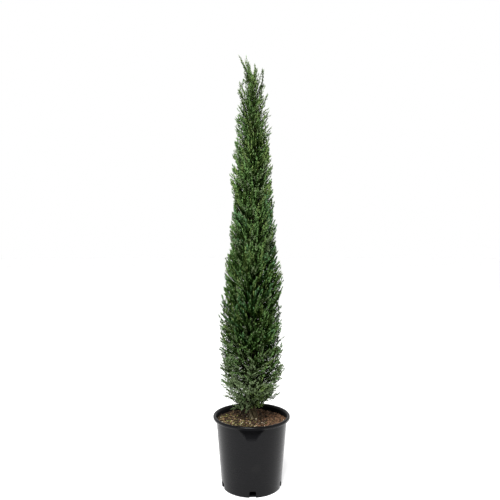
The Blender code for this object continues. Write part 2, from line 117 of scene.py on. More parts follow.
class Graph:
    """The node tree of a material or of the world."""

    def __init__(self, tree: bpy.types.NodeTree) -> None:
        """Wraps a node tree."""
        self.tree = tree

    def feed(self, socket: bpy.types.NodeSocket, value: object) -> None:
        """Links a signal to a socket, or sets a plain value on it.

        Args:
            socket: an input socket.
            value: a signal, a number or a colour.
        """
        if isinstance(value, Signal):
            self.tree.links.new(value.socket, socket)
        elif isinstance(value, tuple) and len(value) == 3 and socket.type == "RGBA":
            socket.default_value = (*value, 1.0)
        else:
            socket.default_value = value

    def node(
        self, kind: str, settings: dict | None = None, values: dict | None = None
    ) -> bpy.types.Node:
        """Adds a node.

        Args:
            kind: the node's type.
            settings: its settings, which are set first; stops are a ramp's stops.
            values: what each input socket holds, a plain value or a signal.

        Returns:
            The new node.
        """
        node = self.tree.nodes.new(kind)
        for name, value in (settings or {}).items():
            if name == "stops":
                self._set_stops(node.color_ramp, value)
            else:
                setattr(node, name, value)
        for name, value in (values or {}).items():
            self.feed(node.inputs[name], value)
        return node

    def read(
        self, kind: str, output: str | int, settings: dict | None = None, values: dict | None = None
    ) -> Signal:
        """Adds a node as node does, and gives one of its outputs, by name or number."""
        return Signal(self, self.node(kind, settings, values).outputs[output])

    def _set_stops(self, ramp: bpy.types.ColorRamp, stops: list) -> None:
        """Gives a ramp its stops, each a position and a colour.

        Args:
            ramp: the ramp of a colour node.
            stops: positions and colours, from low to high.
        """
        while len(ramp.elements) < len(stops):
            ramp.elements.new(1.0)
        for element, (position, colour) in zip(ramp.elements, stops):
            element.position = position
            element.color = (*colour, 1.0)

    def place(self, scale: Triple = (1.0, 1.0, 1.0)) -> Signal:
        """Object coordinates, each times its scale, so a low scale draws a pattern out."""
        values = {"Vector": self.read("ShaderNodeTexCoord", "Object"), "Scale": scale}
        return self.read("ShaderNodeMapping", "Vector", values=values)

    def along(self, axis: str) -> Signal:
        """One of the object coordinates."""
        place = self.read("ShaderNodeTexCoord", "Object")
        return self.read("ShaderNodeSeparateXYZ", axis, values={"Vector": place})

    def painted(self, name: str) -> Signal:
        """Attribute that the piece carries, or 0 on a piece without it."""
        return self.read("ShaderNodeAttribute", "Fac", {"attribute_name": name})

    def noise(self, place: Signal, scale: float, detail: float = 3.0) -> Signal:
        """Cloudy noise from 0 to 1, with so many patches to a metre."""
        values = {"Vector": place, "Scale": scale, "Detail": detail}
        return self.read("ShaderNodeTexNoise", "Fac", values=values)

    def cells(self, place: Signal, scale: float) -> Signal:
        """Distance to the nearest of scattered points, with so many to a metre."""
        values = {"Vector": place, "Scale": scale}
        return self.read("ShaderNodeTexVoronoi", "Distance", values=values)

    def ramp(self, value: Signal, stops: list) -> Signal:
        """Colour read from a ramp."""
        return self.read("ShaderNodeValToRGB", "Color", {"stops": stops}, {"Fac": value})

    def mix(self, mask: object, first: object, second: object) -> Signal:
        """Colour that goes from the first to the second as the mask goes from 0 to 1."""
        values = {0: mask, 6: first, 7: second}
        return self.read("ShaderNodeMix", 2, {"data_type": "RGBA"}, values)

    def bump(self, height: Signal, distance: float) -> Signal:
        """Normal of a surface raised by a height from 0 to 1 times a distance."""
        values = {"Height": height, "Distance": distance}
        return self.read("ShaderNodeBump", "Normal", values=values)


def new_material(name: str, **sockets: object) -> tuple[bpy.types.Material, Graph]:
    """Makes a material with one Principled shader.

    Args:
        name: the material's name.
        sockets: plain values of the shader's sockets, with _ for a space.

    Returns:
        The material and its graph.
    """
    material = bpy.data.materials.new(name)
    material.use_nodes = True
    graph = Graph(material.node_tree)
    shader = material.node_tree.nodes["Principled BSDF"]
    for socket, value in sockets.items():
        graph.feed(shader.inputs[socket.replace("_", " ")], value)
    return material, graph


def dress(material: bpy.types.Material, graph: Graph, **signals: Signal) -> bpy.types.Material:
    """Links signals to the shader's sockets and returns the material.

    Args:
        material: the material.
        graph: its graph.
        signals: signals by the shader's sockets, with _ for a space.

    Returns:
        The material.
    """
    shader = material.node_tree.nodes["Principled BSDF"]
    for socket, signal in signals.items():
        graph.feed(shader.inputs[socket.replace("_", " ")], signal)
    return material


# Finishes


@dataclass(frozen=True)
class PlasticFinish:
    """Moulded black plastic with dull scuffs and a little dust."""

    black: Colour = (0.0022, 0.0022, 0.0028)
    dust: Colour = (0.009, 0.0086, 0.0082)
    sheen_roughness: float = 0.24
    scuffed_roughness: float = 0.29
    grip_roughness: float = 1.0
    specular: float = 0.135
    cloud_scale: float = 14.0
    streak_scale: float = 22.0
    grain_scale: float = 900.0
    grain_depth: float = 0.000003

    def material(self) -> bpy.types.Material:
        """Dust follows broad clouds, scuffs follow streaks round the wall.

        The attribute grip marks the dull plastic of the scoops, the lip over them and the inside,
        where the dust is also left out of the colour as painted shade.

        Returns:
            The new material.
        """
        material, graph = new_material(
            "moulded_plastic", Metallic=0.0, Specular_IOR_Level=self.specular
        )
        clouds = graph.noise(graph.place(), self.cloud_scale)
        streaks = graph.noise(graph.place((1.0, 1.0, 9.0)), self.streak_scale, 5.0)
        grain = graph.noise(graph.place(), self.grain_scale, 2.0)
        dust = clouds.above(0.52, 0.80) * 0.40 + streaks.above(0.60, 0.78) * 0.12
        spread = self.scuffed_roughness - self.sheen_roughness
        grip = graph.painted("grip")
        gloss = self.sheen_roughness + spread * streaks.above(0.35, 0.75)
        return dress(
            material,
            graph,
            # Painted shade: dust is left out where grip is set, so the scoops, the lip over them
            # and the inside read darker.
            Base_Color=graph.mix(dust * (1.0 - grip), self.black, self.dust),
            Roughness=gloss + (self.grip_roughness - gloss) * grip,
            Normal=graph.bump(grain + streaks, self.grain_depth),
        )


@dataclass(frozen=True)
class BarkFinish:
    """Thin fibrous bark: dark fissures, pale ridges, and shade between two heights."""

    name: str = "fibrous_bark"
    fissure: Colour = (0.010, 0.007, 0.004)
    brown: Colour = (0.085, 0.065, 0.035)
    pale: Colour = (0.205, 0.172, 0.104)
    # Colour of the ridge at the stem's foot: partly bare bark, partly painted light.
    worn: Colour = (0.280, 0.240, 0.155)
    shade_heights: tuple[float, float] = (0.295, 0.360)
    shade: float = 0.85
    specular: float = 0.10
    fibre_scale: float = 420.0
    plate_scale: float = 90.0
    fibre_depth: float = 0.0005

    def material(self) -> bpy.types.Material:
        """Fibres run up the stem, so the noise is drawn out along Z.

        The attribute worn marks the ridge at the foot of the stem, whose paler colour is partly
        bare bark and partly painted light.

        Returns:
            The new material.
        """
        sockets = {"Metallic": 0.0, "Specular_IOR_Level": self.specular}
        material, graph = new_material(self.name, **sockets)
        fibres = graph.noise(graph.place((1.0, 1.0, 0.12)), self.fibre_scale, 6.0)
        plates = graph.noise(graph.place((1.0, 1.0, 0.35)), self.plate_scale)
        tone = fibres * 0.6 + plates * 0.4
        stops = [(0.36, self.fissure), (0.50, self.brown), (0.66, self.pale)]
        shade = self.shade * graph.along("Z").above(*self.shade_heights)
        # Paler ridge: partly bare bark, partly painted light.
        worn = graph.painted("worn") * fibres.above(0.35, 0.60)
        stem = graph.mix(worn, graph.ramp(tone, stops), self.worn)
        return dress(
            material,
            graph,
            Base_Color=graph.mix(shade, stem, self.fissure),
            Roughness=0.95 - 0.2 * plates,
            Normal=graph.bump(tone, self.fibre_depth),
        )


TWIG_BARK = BarkFinish(
    "twig_bark", (0.006, 0.005, 0.003), (0.022, 0.018, 0.011), (0.070, 0.058, 0.040), specular=0.0
)
YOUNG_WOOD = BarkFinish(
    "young_wood", (0.010, 0.012, 0.004), (0.032, 0.042, 0.016), (0.070, 0.088, 0.036), specular=0.0
)


@dataclass(frozen=True)
class SoilFinish:
    """Moist bark and peat: dark crumbs, redder to the right and yellower to the left."""

    dark: Colour = (0.005, 0.003, 0.002)
    brown: Colour = (0.052, 0.032, 0.018)
    tan: Colour = (0.130, 0.082, 0.040)
    moss: Colour = (0.095, 0.088, 0.022)
    red: Colour = (0.240, 0.140, 0.090)
    cell_scale: float = 260.0
    crumb_scale: float = 330.0
    patch_scale: float = 60.0
    crumb_depth: float = 0.0016

    def material(self) -> bpy.types.Material:
        """Crumbs of mixed tone, with patches of moss on the left and red bark on the right.

        Returns:
            The new material.
        """
        material, graph = new_material("potting_mix", Metallic=0.0, Specular_IOR_Level=0.1)
        edge = graph.cells(graph.place(), self.cell_scale)
        crumbs = graph.noise(graph.place(), self.crumb_scale, 6.0)
        left = 1.0 - graph.along("X").above(-0.09, 0.02)
        stops = [(0.34, self.dark), (0.52, self.brown), (0.70, self.tan)]
        moss = left * graph.noise(graph.place(), self.patch_scale).above(0.42, 0.62) * 0.6
        bark = graph.along("X").above(0.03, 0.09) * crumbs.above(0.40, 0.60) * 0.8
        mossy = graph.mix(moss, graph.ramp(crumbs, stops), self.moss)
        return dress(
            material,
            graph,
            Base_Color=graph.mix(bark, mossy, self.red),
            Roughness=0.98 - 0.2 * crumbs,
            Normal=graph.bump(crumbs - edge, self.crumb_depth),
        )


@dataclass(frozen=True)
class ChipFinish:
    """A kind of loose chip: one colour, mottled towards another."""

    name: str
    colour: Colour
    mottle: Colour
    roughness: float = 0.9
    mottle_scale: float = 700.0

    def material(self) -> bpy.types.Material:
        """Mottling is finer than a chip.

        Returns:
            The new material.
        """
        material, graph = new_material(self.name, Metallic=0.0, Specular_IOR_Level=0.12)
        mottle = graph.noise(graph.place(), self.mottle_scale)
        return dress(
            material,
            graph,
            Base_Color=graph.mix(mottle.above(0.35, 0.70), self.colour, self.mottle),
            Roughness=self.roughness - 0.2 * mottle,
        )


class Hue(Enum):
    """Families of foliage colour, which stand for whole shoots."""

    GREEN = (0.058, 0.112, 0.032)
    OLIVE = (0.070, 0.111, 0.030)
    GREY = (0.074, 0.107, 0.047)
    BLUE = (0.050, 0.112, 0.042)


class PaintedShading(Enum):
    """Painted shade and light of the leaves: tones from the crown's shaded inside to its lit
    outside.

    Each holds the factors of a hue's red, green and blue, and its specular level.
    """

    # Shaded, half-lit and lit copies of each hue: painted shade and painted light.
    INNER = (0.090, 0.155, 0.048, 0.0)
    MIDDLE = (0.54, 0.57, 0.46, 0.03)
    OUTER = (2.22, 2.08, 2.38, 0.06)


@dataclass(frozen=True)
class LeafFinish:
    """Plain colour of the scale leaves of one hue in one tone of painted shade or light."""

    hue: Hue
    depth: PaintedShading
    roughness: float = 0.80

    def material(self) -> bpy.types.Material:
        """One even colour, because the colours are dealt out by spray.

        Returns:
            The new material.
        """
        *factors, specular = self.depth.value
        colour = tuple(channel * factor for channel, factor in zip(self.hue.value, factors))
        name = f"leaves_{self.hue.name.lower()}_{self.depth.name.lower()}"
        material, _ = new_material(
            name,
            Metallic=0.0,
            Base_Color=colour,
            Roughness=self.roughness,
            Specular_IOR_Level=specular,
        )
        return material


# Shapes


def unit(vectors: Array) -> Array:
    """The vectors, each at a length of one."""
    return vectors / np.maximum(np.linalg.norm(vectors, axis=-1, keepdims=True), 1e-9)


def dot(first: Array, second: Array) -> Array:
    """Dot products along the last axis, which stays."""
    return (first * second).sum(-1, keepdims=True)


def smooth_step(value: Array, low: float, high: float) -> Array:
    """Smooth step from 0 at low to 1 at high."""
    share = np.clip((value - low) / (high - low), 0.0, 1.0)
    return share * share * (3.0 - 2.0 * share)


def ripples(points: Array, pitch: float, count: int, random: np.random.Generator) -> Array:
    """Smooth noise about 0: a sum of plane waves in random directions.

    Args:
        points: where to read it, an array of points.
        pitch: mean length of the waves, in metres.
        count: how many waves.
        random: source of their directions and phases.

    Returns:
        One number to each point, mostly between -1 and 1.
    """
    directions = unit(random.normal(size=(count, 3)))
    numbers = FULL_TURN / (pitch * random.uniform(0.7, 1.5, count))
    phases = random.uniform(0.0, FULL_TURN, count)
    waves = np.cos(points @ (directions * numbers[:, None]).T + phases)
    return waves.sum(-1) * math.sqrt(2.0 / count) * 0.6


def make_piece(
    name: str,
    points: Array,
    faces: list[Array],
    materials: list[bpy.types.Material],
    worn: Array | None = None,
    smooth: bool = True,
) -> bpy.types.Object:
    """Makes an object at the origin.

    Args:
        name: its name.
        points: its vertices.
        faces: arrays of corner numbers, one row to a face, faces of one kind together.
        materials: its materials.
        worn: number of the material that each face wears, the first if left out.
        smooth: whether its faces are shaded smooth.

    Returns:
        The new object.
    """
    mesh = bpy.data.meshes.new(name)
    corners = np.concatenate([block.ravel() for block in faces])
    sizes = np.concatenate([np.full(len(block), block.shape[1]) for block in faces])
    mesh.vertices.add(len(points))
    mesh.vertices.foreach_set("co", np.asarray(points, np.float32).ravel())
    mesh.loops.add(len(corners))
    mesh.loops.foreach_set("vertex_index", corners.astype(np.int32))
    mesh.polygons.add(len(sizes))
    starts = np.concatenate(([0], np.cumsum(sizes)[:-1]))
    mesh.polygons.foreach_set("loop_start", starts.astype(np.int32))
    for material in materials:
        mesh.materials.append(material)
    if worn is not None:
        mesh.polygons.foreach_set("material_index", worn.astype(np.int32))
    mesh.update(calc_edges=True)
    mesh.validate()
    if smooth:
        mesh.shade_smooth()
    else:
        mesh.shade_flat()
    piece = bpy.data.objects.new(name, mesh)
    bpy.context.scene.collection.objects.link(piece)
    return piece


def settle(piece: bpy.types.Object, nodes: tuple[str, ...] = ()) -> None:
    """Lets a piece ride on the one body and the nodes it stands for.

    Args:
        piece: the piece.
        nodes: names of the nodes that it stands for, if any.
    """
    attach(piece, "root")
    if nodes:
        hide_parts(*nodes)
    piece.data.calc_loop_triangles()
    LOG.info("%s: %d triangles", piece.name, len(piece.data.loop_triangles))


def grid_faces(rows: int, columns: int) -> Array:
    """Quads of a grid whose last column meets its first, numbered row by row.

    Args:
        rows: how many rings of points.
        columns: how many points in each.

    Returns:
        Corner numbers, one row to a quad.
    """
    row, column = np.meshgrid(np.arange(rows - 1), np.arange(columns), indexing="ij")
    after = (column + 1) % columns
    low, high = row * columns, (row + 1) * columns
    corners = (low + column, low + after, high + after, high + column)
    return np.stack(corners, axis=-1).reshape(-1, 4)


def turned_surface(grid: Array) -> tuple[Array, list[Array]]:
    """Closes a grid of rings with a pole at each end.

    Args:
        grid: rings of points, anticlockwise from above, from the lower pole outwards
            and up, or any path that keeps the outside on its right.

    Returns:
        The points, and the faces as quads and triangles.
    """
    rows, columns, _ = grid.shape
    poles = (grid[0].mean(0), grid[-1].mean(0))
    points = np.concatenate((grid.reshape(-1, 3), poles))
    column = np.arange(columns)
    after = (column + 1) % columns
    last = (rows - 1) * columns
    first_cap = np.stack((np.full(columns, rows * columns), after, column), axis=-1)
    tops = np.full(columns, rows * columns + 1)
    last_cap = np.stack((tops, last + column, last + after), axis=-1)
    return points, [grid_faces(rows, columns), np.concatenate((first_cap, last_cap))]


def sweep(paths: Array, radii: Array, across: Array, sides: int) -> tuple[Array, Array]:
    """Closed round limbs along many paths at once.

    Each ring is a regular polygon, square to the path: path + radius * (cos(angle) *
    across + sin(angle) * over). The path's ends close it as poles.

    Args:
        paths: limbs by points by 3.
        radii: limbs by points.
        across: for each limb, a vector well off all of its path.
        sides: corners of a ring.

    Returns:
        The points and the triangles of all the limbs.
    """
    limbs, rings = radii.shape
    along = unit(np.gradient(paths, axis=1))
    across = across[:, None, :]
    across = unit(across - dot(across, along) * along)
    over = np.cross(along, across)
    angle = np.linspace(0.0, FULL_TURN, sides, endpoint=False)[:, None]
    ring = np.cos(angle) * across[:, :, None] + np.sin(angle) * over[:, :, None]
    skin = paths[:, :, None] + radii[:, :, None, None] * ring
    ends = paths[:, [0, -1]]
    points = np.concatenate((skin.reshape(limbs, -1, 3), ends), axis=1)
    quads = grid_faces(rings, sides)
    side = np.arange(sides)
    after = (side + 1) % sides
    foot = np.full(sides, rings * sides)
    last = (rings - 1) * sides
    faces = np.concatenate(
        (
            quads[:, :3],
            quads[:, [0, 2, 3]],
            np.stack((foot, after, side), axis=-1),
            np.stack((foot + 1, last + side, last + after), axis=-1),
        )
    )
    shift = np.arange(limbs)[:, None, None] * (rings * sides + 2)
    return points.reshape(-1, 3), (faces[None] + shift).reshape(-1, 3)


def slivers(
    feet: Array, headings: Array, across: Array, lengths: Array, widths: Array
) -> tuple[Array, Array]:
    """Slender pointed leaves, each a closed solid of four corners.

    With the foot at 0 and the tip at the whole length, the two sides of the belly lie
    at 0.4 of the length, half a width to either side and 0.7 of a width below.

    Args:
        feet: leaves by 3, where they start.
        headings: unit vectors along them.
        across: vectors well off the headings.
        lengths: one to each leaf.
        widths: one to each leaf.

    Returns:
        The points and the triangles of all the leaves.
    """
    across = unit(across - dot(across, headings) * headings)
    below = np.cross(across, headings)
    long, wide = lengths[:, None], widths[:, None]
    belly = feet + headings * long * 0.4 + below * wide * 0.7
    tips = feet + headings * long
    sides = (belly - across * wide / 2, belly + across * wide / 2)
    points = np.stack((feet, tips, *sides), axis=1)
    faces = np.array(((0, 1, 3), (0, 2, 1), (0, 3, 2), (1, 2, 3)))
    shift = np.arange(len(feet))[:, None, None] * 4
    return points.reshape(-1, 3), (faces[None] + shift).reshape(-1, 3)


@dataclass(frozen=True)
class Arcs:
    """A bundle of curves, each from its start, drawn towards its control, to its end."""

    start: Array
    control: Array
    end: Array

    def take(self, chosen: Array) -> "Arcs":
        """The chosen curves, in that order."""
        return Arcs(self.start[chosen], self.control[chosen], self.end[chosen])

    def join(self, other: "Arcs") -> "Arcs":
        """These curves and then the others."""
        pairs = ((self.start, other.start), (self.control, other.control), (self.end, other.end))
        return Arcs(*(np.concatenate(pair) for pair in pairs))

    def at(self, share: Array) -> Array:
        """Points at the shares (curves by points) of their lengths.

        With s for the share: start * (1 - s)^2 + control * 2s(1 - s) + end * s^2.

        Args:
            share: shares from 0 to 1, curves by points.

        Returns:
            Points, curves by points by 3.
        """
        share = share[..., None]
        rest = 1.0 - share
        drawn = self.control[:, None] * (2.0 * share * rest)
        return self.start[:, None] * rest**2 + drawn + self.end[:, None] * share**2

    def heading(self, share: Array) -> Array:
        """Unit vectors along the curves at the shares.

        Args:
            share: shares from 0 to 1, curves by points.

        Returns:
            Unit vectors, curves by points by 3.
        """
        share = share[..., None]
        first = (self.control - self.start)[:, None]
        second = (self.end - self.control)[:, None]
        return unit(first * (1.0 - share) + second * share)


def vertex_places(mesh: bpy.types.Mesh) -> Array:
    """Coordinates of a mesh's vertices, one row to each.

    Args:
        mesh: the mesh.

    Returns:
        Coordinates, vertices by 3.
    """
    places = np.empty(len(mesh.vertices) * 3, np.float32)
    mesh.vertices.foreach_get("co", places)
    return places.reshape(-1, 3)


def paint(piece: bpy.types.Object, name: str, values: Array) -> None:
    """Gives each vertex of a piece its value of a named attribute."""
    attribute = piece.data.attributes.new(name, "FLOAT", "POINT")
    attribute.data.foreach_set("value", values.astype(np.float32))


def node_triangles(name: str) -> Array:
    """Corners of the triangles of a CAD node, triangles by 3 by 3.

    Args:
        name: the node's name.

    Returns:
        Corners, triangles by 3 by 3.
    """
    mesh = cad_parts[name].data
    mesh.calc_loop_triangles()
    corners = np.empty(len(mesh.loop_triangles) * 3, np.int32)
    mesh.loop_triangles.foreach_get("vertices", corners)
    return vertex_places(mesh).astype(float)[corners].reshape(-1, 3, 3)


def compass(turn: Array) -> tuple[Array, Array]:
    """Level unit vectors outwards at each turn about Z, and a quarter turn on from them.

    Args:
        turn: turns in radians.

    Returns:
        The vectors outwards and those to the side, turns by 3.
    """
    flat = np.zeros(len(turn))
    outward = np.column_stack((np.cos(turn), np.sin(turn), flat))
    return outward, np.column_stack((-np.sin(turn), np.cos(turn), flat))


# Pot


@dataclass
class NurseryPot:
    """Tapered pot with a rolled rim, two grip scoops and five drain holes."""

    height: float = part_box("pot")[1].z
    rim_radius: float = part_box("pot")[1].x
    foot_radius: float = 0.1158
    slope: float = 0.0847
    wall: float = 0.0024
    floor: float = 0.006
    foot_round: float = 0.0030
    lip_drop: float = 0.0125
    scoop_height: float = 0.041
    scoop_depths: tuple[float, float] = (0.0026, 0.0102)
    scoop_half_widths: tuple[float, float] = (0.0190, 0.0500)
    scoop_edge: float = 0.0015
    scoop_fine_deg: float = 25.0
    drains: int = 5
    first_drain_deg: float = -88.0
    drain_width: float = 0.025
    drain_top: float = 0.0255
    drain_inner: float = 0.108
    drain_round: float = 0.006
    sharp_deg: float = 40.0
    finish: PlasticFinish = field(default_factory=PlasticFinish)

    def wall_radius(self, height: Array) -> Array:
        """Outer radius of the wall, which grows evenly with the height."""
        return self.foot_radius + self.slope * height

    def profile(self) -> Array:
        """Radius and height along the section, from the inner floor to the underside.

        Returns:
            The radius and the height of each point.
        """
        lip_low = self.height - self.lip_drop
        down = np.linspace(1.0, 0.0, 46)
        inner_heights = self.floor + 0.003 + (lip_low - self.floor) * down[::-1]
        inner = (self.wall_radius(inner_heights) - self.wall, inner_heights)
        top, rim = self.height, self.rim_radius
        wall, low_wall = self.wall_radius(top), self.wall_radius(lip_low)
        lip = np.array(
            (
                (wall - 0.0008, top - 0.0045),
                (wall + 0.0002, top - 0.0022),
                (wall + 0.0018, top - 0.0007),
                (rim - 0.0070, top),
                (rim - 0.0042, top - 0.0002),
                (rim - 0.0020, top - 0.0011),
                (rim - 0.0006, top - 0.0027),
                (rim, top - 0.0048),
                (rim - 0.0001, top - 0.0078),
                (rim - 0.0008, top - 0.0104),
                (rim - 0.0022, top - 0.0120),
                (rim - 0.0040, lip_low),
                (low_wall + 0.0030, lip_low + 0.0004),
                (low_wall + 0.0006, lip_low + 0.0002),
            )
        )
        outer_heights = self.foot_round + (lip_low - 0.0008 - self.foot_round) * down
        outer = (self.wall_radius(outer_heights), outer_heights)
        turn = np.linspace(0.0, math.pi / 2, 5)[1:]
        foot = (
            self.foot_radius - self.foot_round * (1.0 - np.cos(turn)),
            self.foot_round * (1.0 - np.sin(turn)),
        )
        under = np.array(((self.foot_radius - 0.012, 0.0), (0.06, 0.0), (0.02, 0.0)))
        floor = np.array(((0.02, self.floor), (0.06, self.floor), (0.10, self.floor)))
        inner, outer, foot = map(np.column_stack, (inner, outer, foot))
        return np.concatenate((floor, inner, lip, outer, foot, under))

    def columns(self) -> Array:
        """Azimuths round the pot, close together at the two scoops.

        Returns:
            The azimuths in radians, in order.
        """
        fine = math.radians(self.scoop_fine_deg)
        front = np.linspace(-fine, fine, 110)
        side = np.linspace(fine, math.pi - fine, 60)[1:-1]
        half = np.concatenate((front, side)) - math.pi / 2
        return np.concatenate((half, half + math.pi))

    def scoop(self, azimuth: Array, height: Array) -> Array:
        """Depth of the scoops, which are flat cuts across the round wall.

        The cut is evenly deeper the higher it is. Away from its middle it runs out
        where the wall curves past it, or at sides that spread with the height.

        Args:
            azimuth: azimuths in radians.
            height: heights, of a shape that goes with them.

        Returns:
            How far the wall stands in, in metres.
        """
        top = self.height - self.lip_drop
        share = (height - top + self.scoop_height) / self.scoop_height
        low, high = self.scoop_depths
        share = np.clip(share, 0.0, 1.0)
        depth = low + (high - low) * share
        curve = self.wall_radius(height) * (1.0 - np.abs(np.sin(azimuth)))
        narrow, wide = self.scoop_half_widths
        half = narrow + (wide - narrow) * share**1.8
        beside = np.abs(np.cos(azimuth)) * self.wall_radius(height)
        sides = smooth_step(half - beside, -self.scoop_edge, self.scoop_edge)
        inside = smooth_step(share, 0.0, 0.03) * smooth_step(top + 0.0012 - height, 0.0, 0.0016)
        return np.maximum(depth - curve, 0.0) * sides * inside

    def drain_block(self, azimuth: float) -> bpy.types.Object:
        """Cutter with an arched outline, drawn along the radius.

        Args:
            azimuth: where the middle of the hole lies.

        Returns:
            The cutter.
        """
        half, top = self.drain_width / 2, self.drain_top
        turn = np.linspace(0.0, math.pi / 2, 6)
        arch = np.column_stack(
            (
                half - self.drain_round * (1.0 - np.cos(turn)),
                top - self.drain_round * (1.0 - np.sin(turn)),
            )
        )
        outline = np.concatenate((((half, -0.01),), arch, arch[::-1] * (-1, 1), ((-half, -0.01),)))
        outward, beside = compass(np.array((azimuth,)))
        flat = outline[:, :1] * beside + outline[:, 1:] * np.array((0.0, 0.0, 1.0))
        ends = (self.drain_inner, self.foot_radius + 0.02)
        points, faces = turned_surface(np.stack([flat + outward * end for end in ends]))
        return make_piece("drain_cutter", points, faces, [])

    def grip(self, places: Array) -> Array:
        """How dull the plastic is, and how far its dust is left out as painted shade: 1 in the
        scoops, on the lip over them and inside.

        Args:
            places: points by 3.

        Returns:
            One number from 0 to 1 to each point.
        """
        x, y, z = places.T
        azimuth = np.arctan2(y, x)
        lip_low = self.height - self.lip_drop
        cut = self.scoop(azimuth, z) / self.scoop_depths[0] * (z < lip_low)
        beside = np.abs(np.cos(azimuth)) * self.rim_radius / self.scoop_half_widths[1]
        on_lip = (z > lip_low) * (z < self.height - 0.004)
        lip = smooth_step(1.2 - beside, 0.0, 0.6) * on_lip
        inside = np.hypot(x, y) < self.wall_radius(z) - self.wall / 2
        return np.clip(cut + lip + inside, 0.0, 1.0)

    def build(self) -> None:
        """Makes the shell as one turned grid and cuts the drain holes."""
        section = self.profile()
        azimuth = self.columns()
        radius, height = section[:, :1], section[:, 1:]
        near_wall = np.abs(radius - self.wall_radius(height)) < self.wall * 1.3
        radius = radius - self.scoop(azimuth[None], height) * near_wall
        rings = np.broadcast_arrays(radius * np.cos(azimuth), radius * np.sin(azimuth), height)
        points, faces = turned_surface(np.stack(rings, axis=-1)[::-1])
        pot = make_piece("pot_shell", points, faces, [self.finish.material()])
        first = math.radians(self.first_drain_deg)
        for number in range(self.drains):
            cutter = self.drain_block(first + FULL_TURN / self.drains * number)
            cut = pot.modifiers.new("drain", "BOOLEAN")
            cut.object = cutter
            cut.solver = "EXACT"
            graph = bpy.context.evaluated_depsgraph_get()
            mesh = bpy.data.meshes.new_from_object(pot.evaluated_get(graph))
            pot.modifiers.clear()
            bpy.data.objects.remove(cutter)
            pot.data = mesh
        pot.data.set_sharp_from_angle(angle=math.radians(self.sharp_deg))
        paint(pot, "grip", self.grip(vertex_places(pot.data)))
        settle(pot, ("pot",))


# Potting mix


class Chip(Enum):
    """Kinds of loose bits: name, colour, mottle, count, least and greatest length."""

    DARK = ("dark_chips", (0.012, 0.008, 0.005), (0.060, 0.037, 0.022), 1100, 0.007, 0.022)
    RED = ("red_chips", (0.085, 0.045, 0.025), (0.220, 0.124, 0.070), 760, 0.006, 0.020)
    TAN = ("tan_chips", (0.150, 0.095, 0.045), (0.300, 0.210, 0.115), 420, 0.005, 0.017)
    MOSS = ("moss", (0.140, 0.142, 0.030), (0.350, 0.350, 0.120), 620, 0.004, 0.011)
    PERLITE = ("perlite", (0.600, 0.520, 0.360), (0.840, 0.760, 0.600), 130, 0.0028, 0.0066)


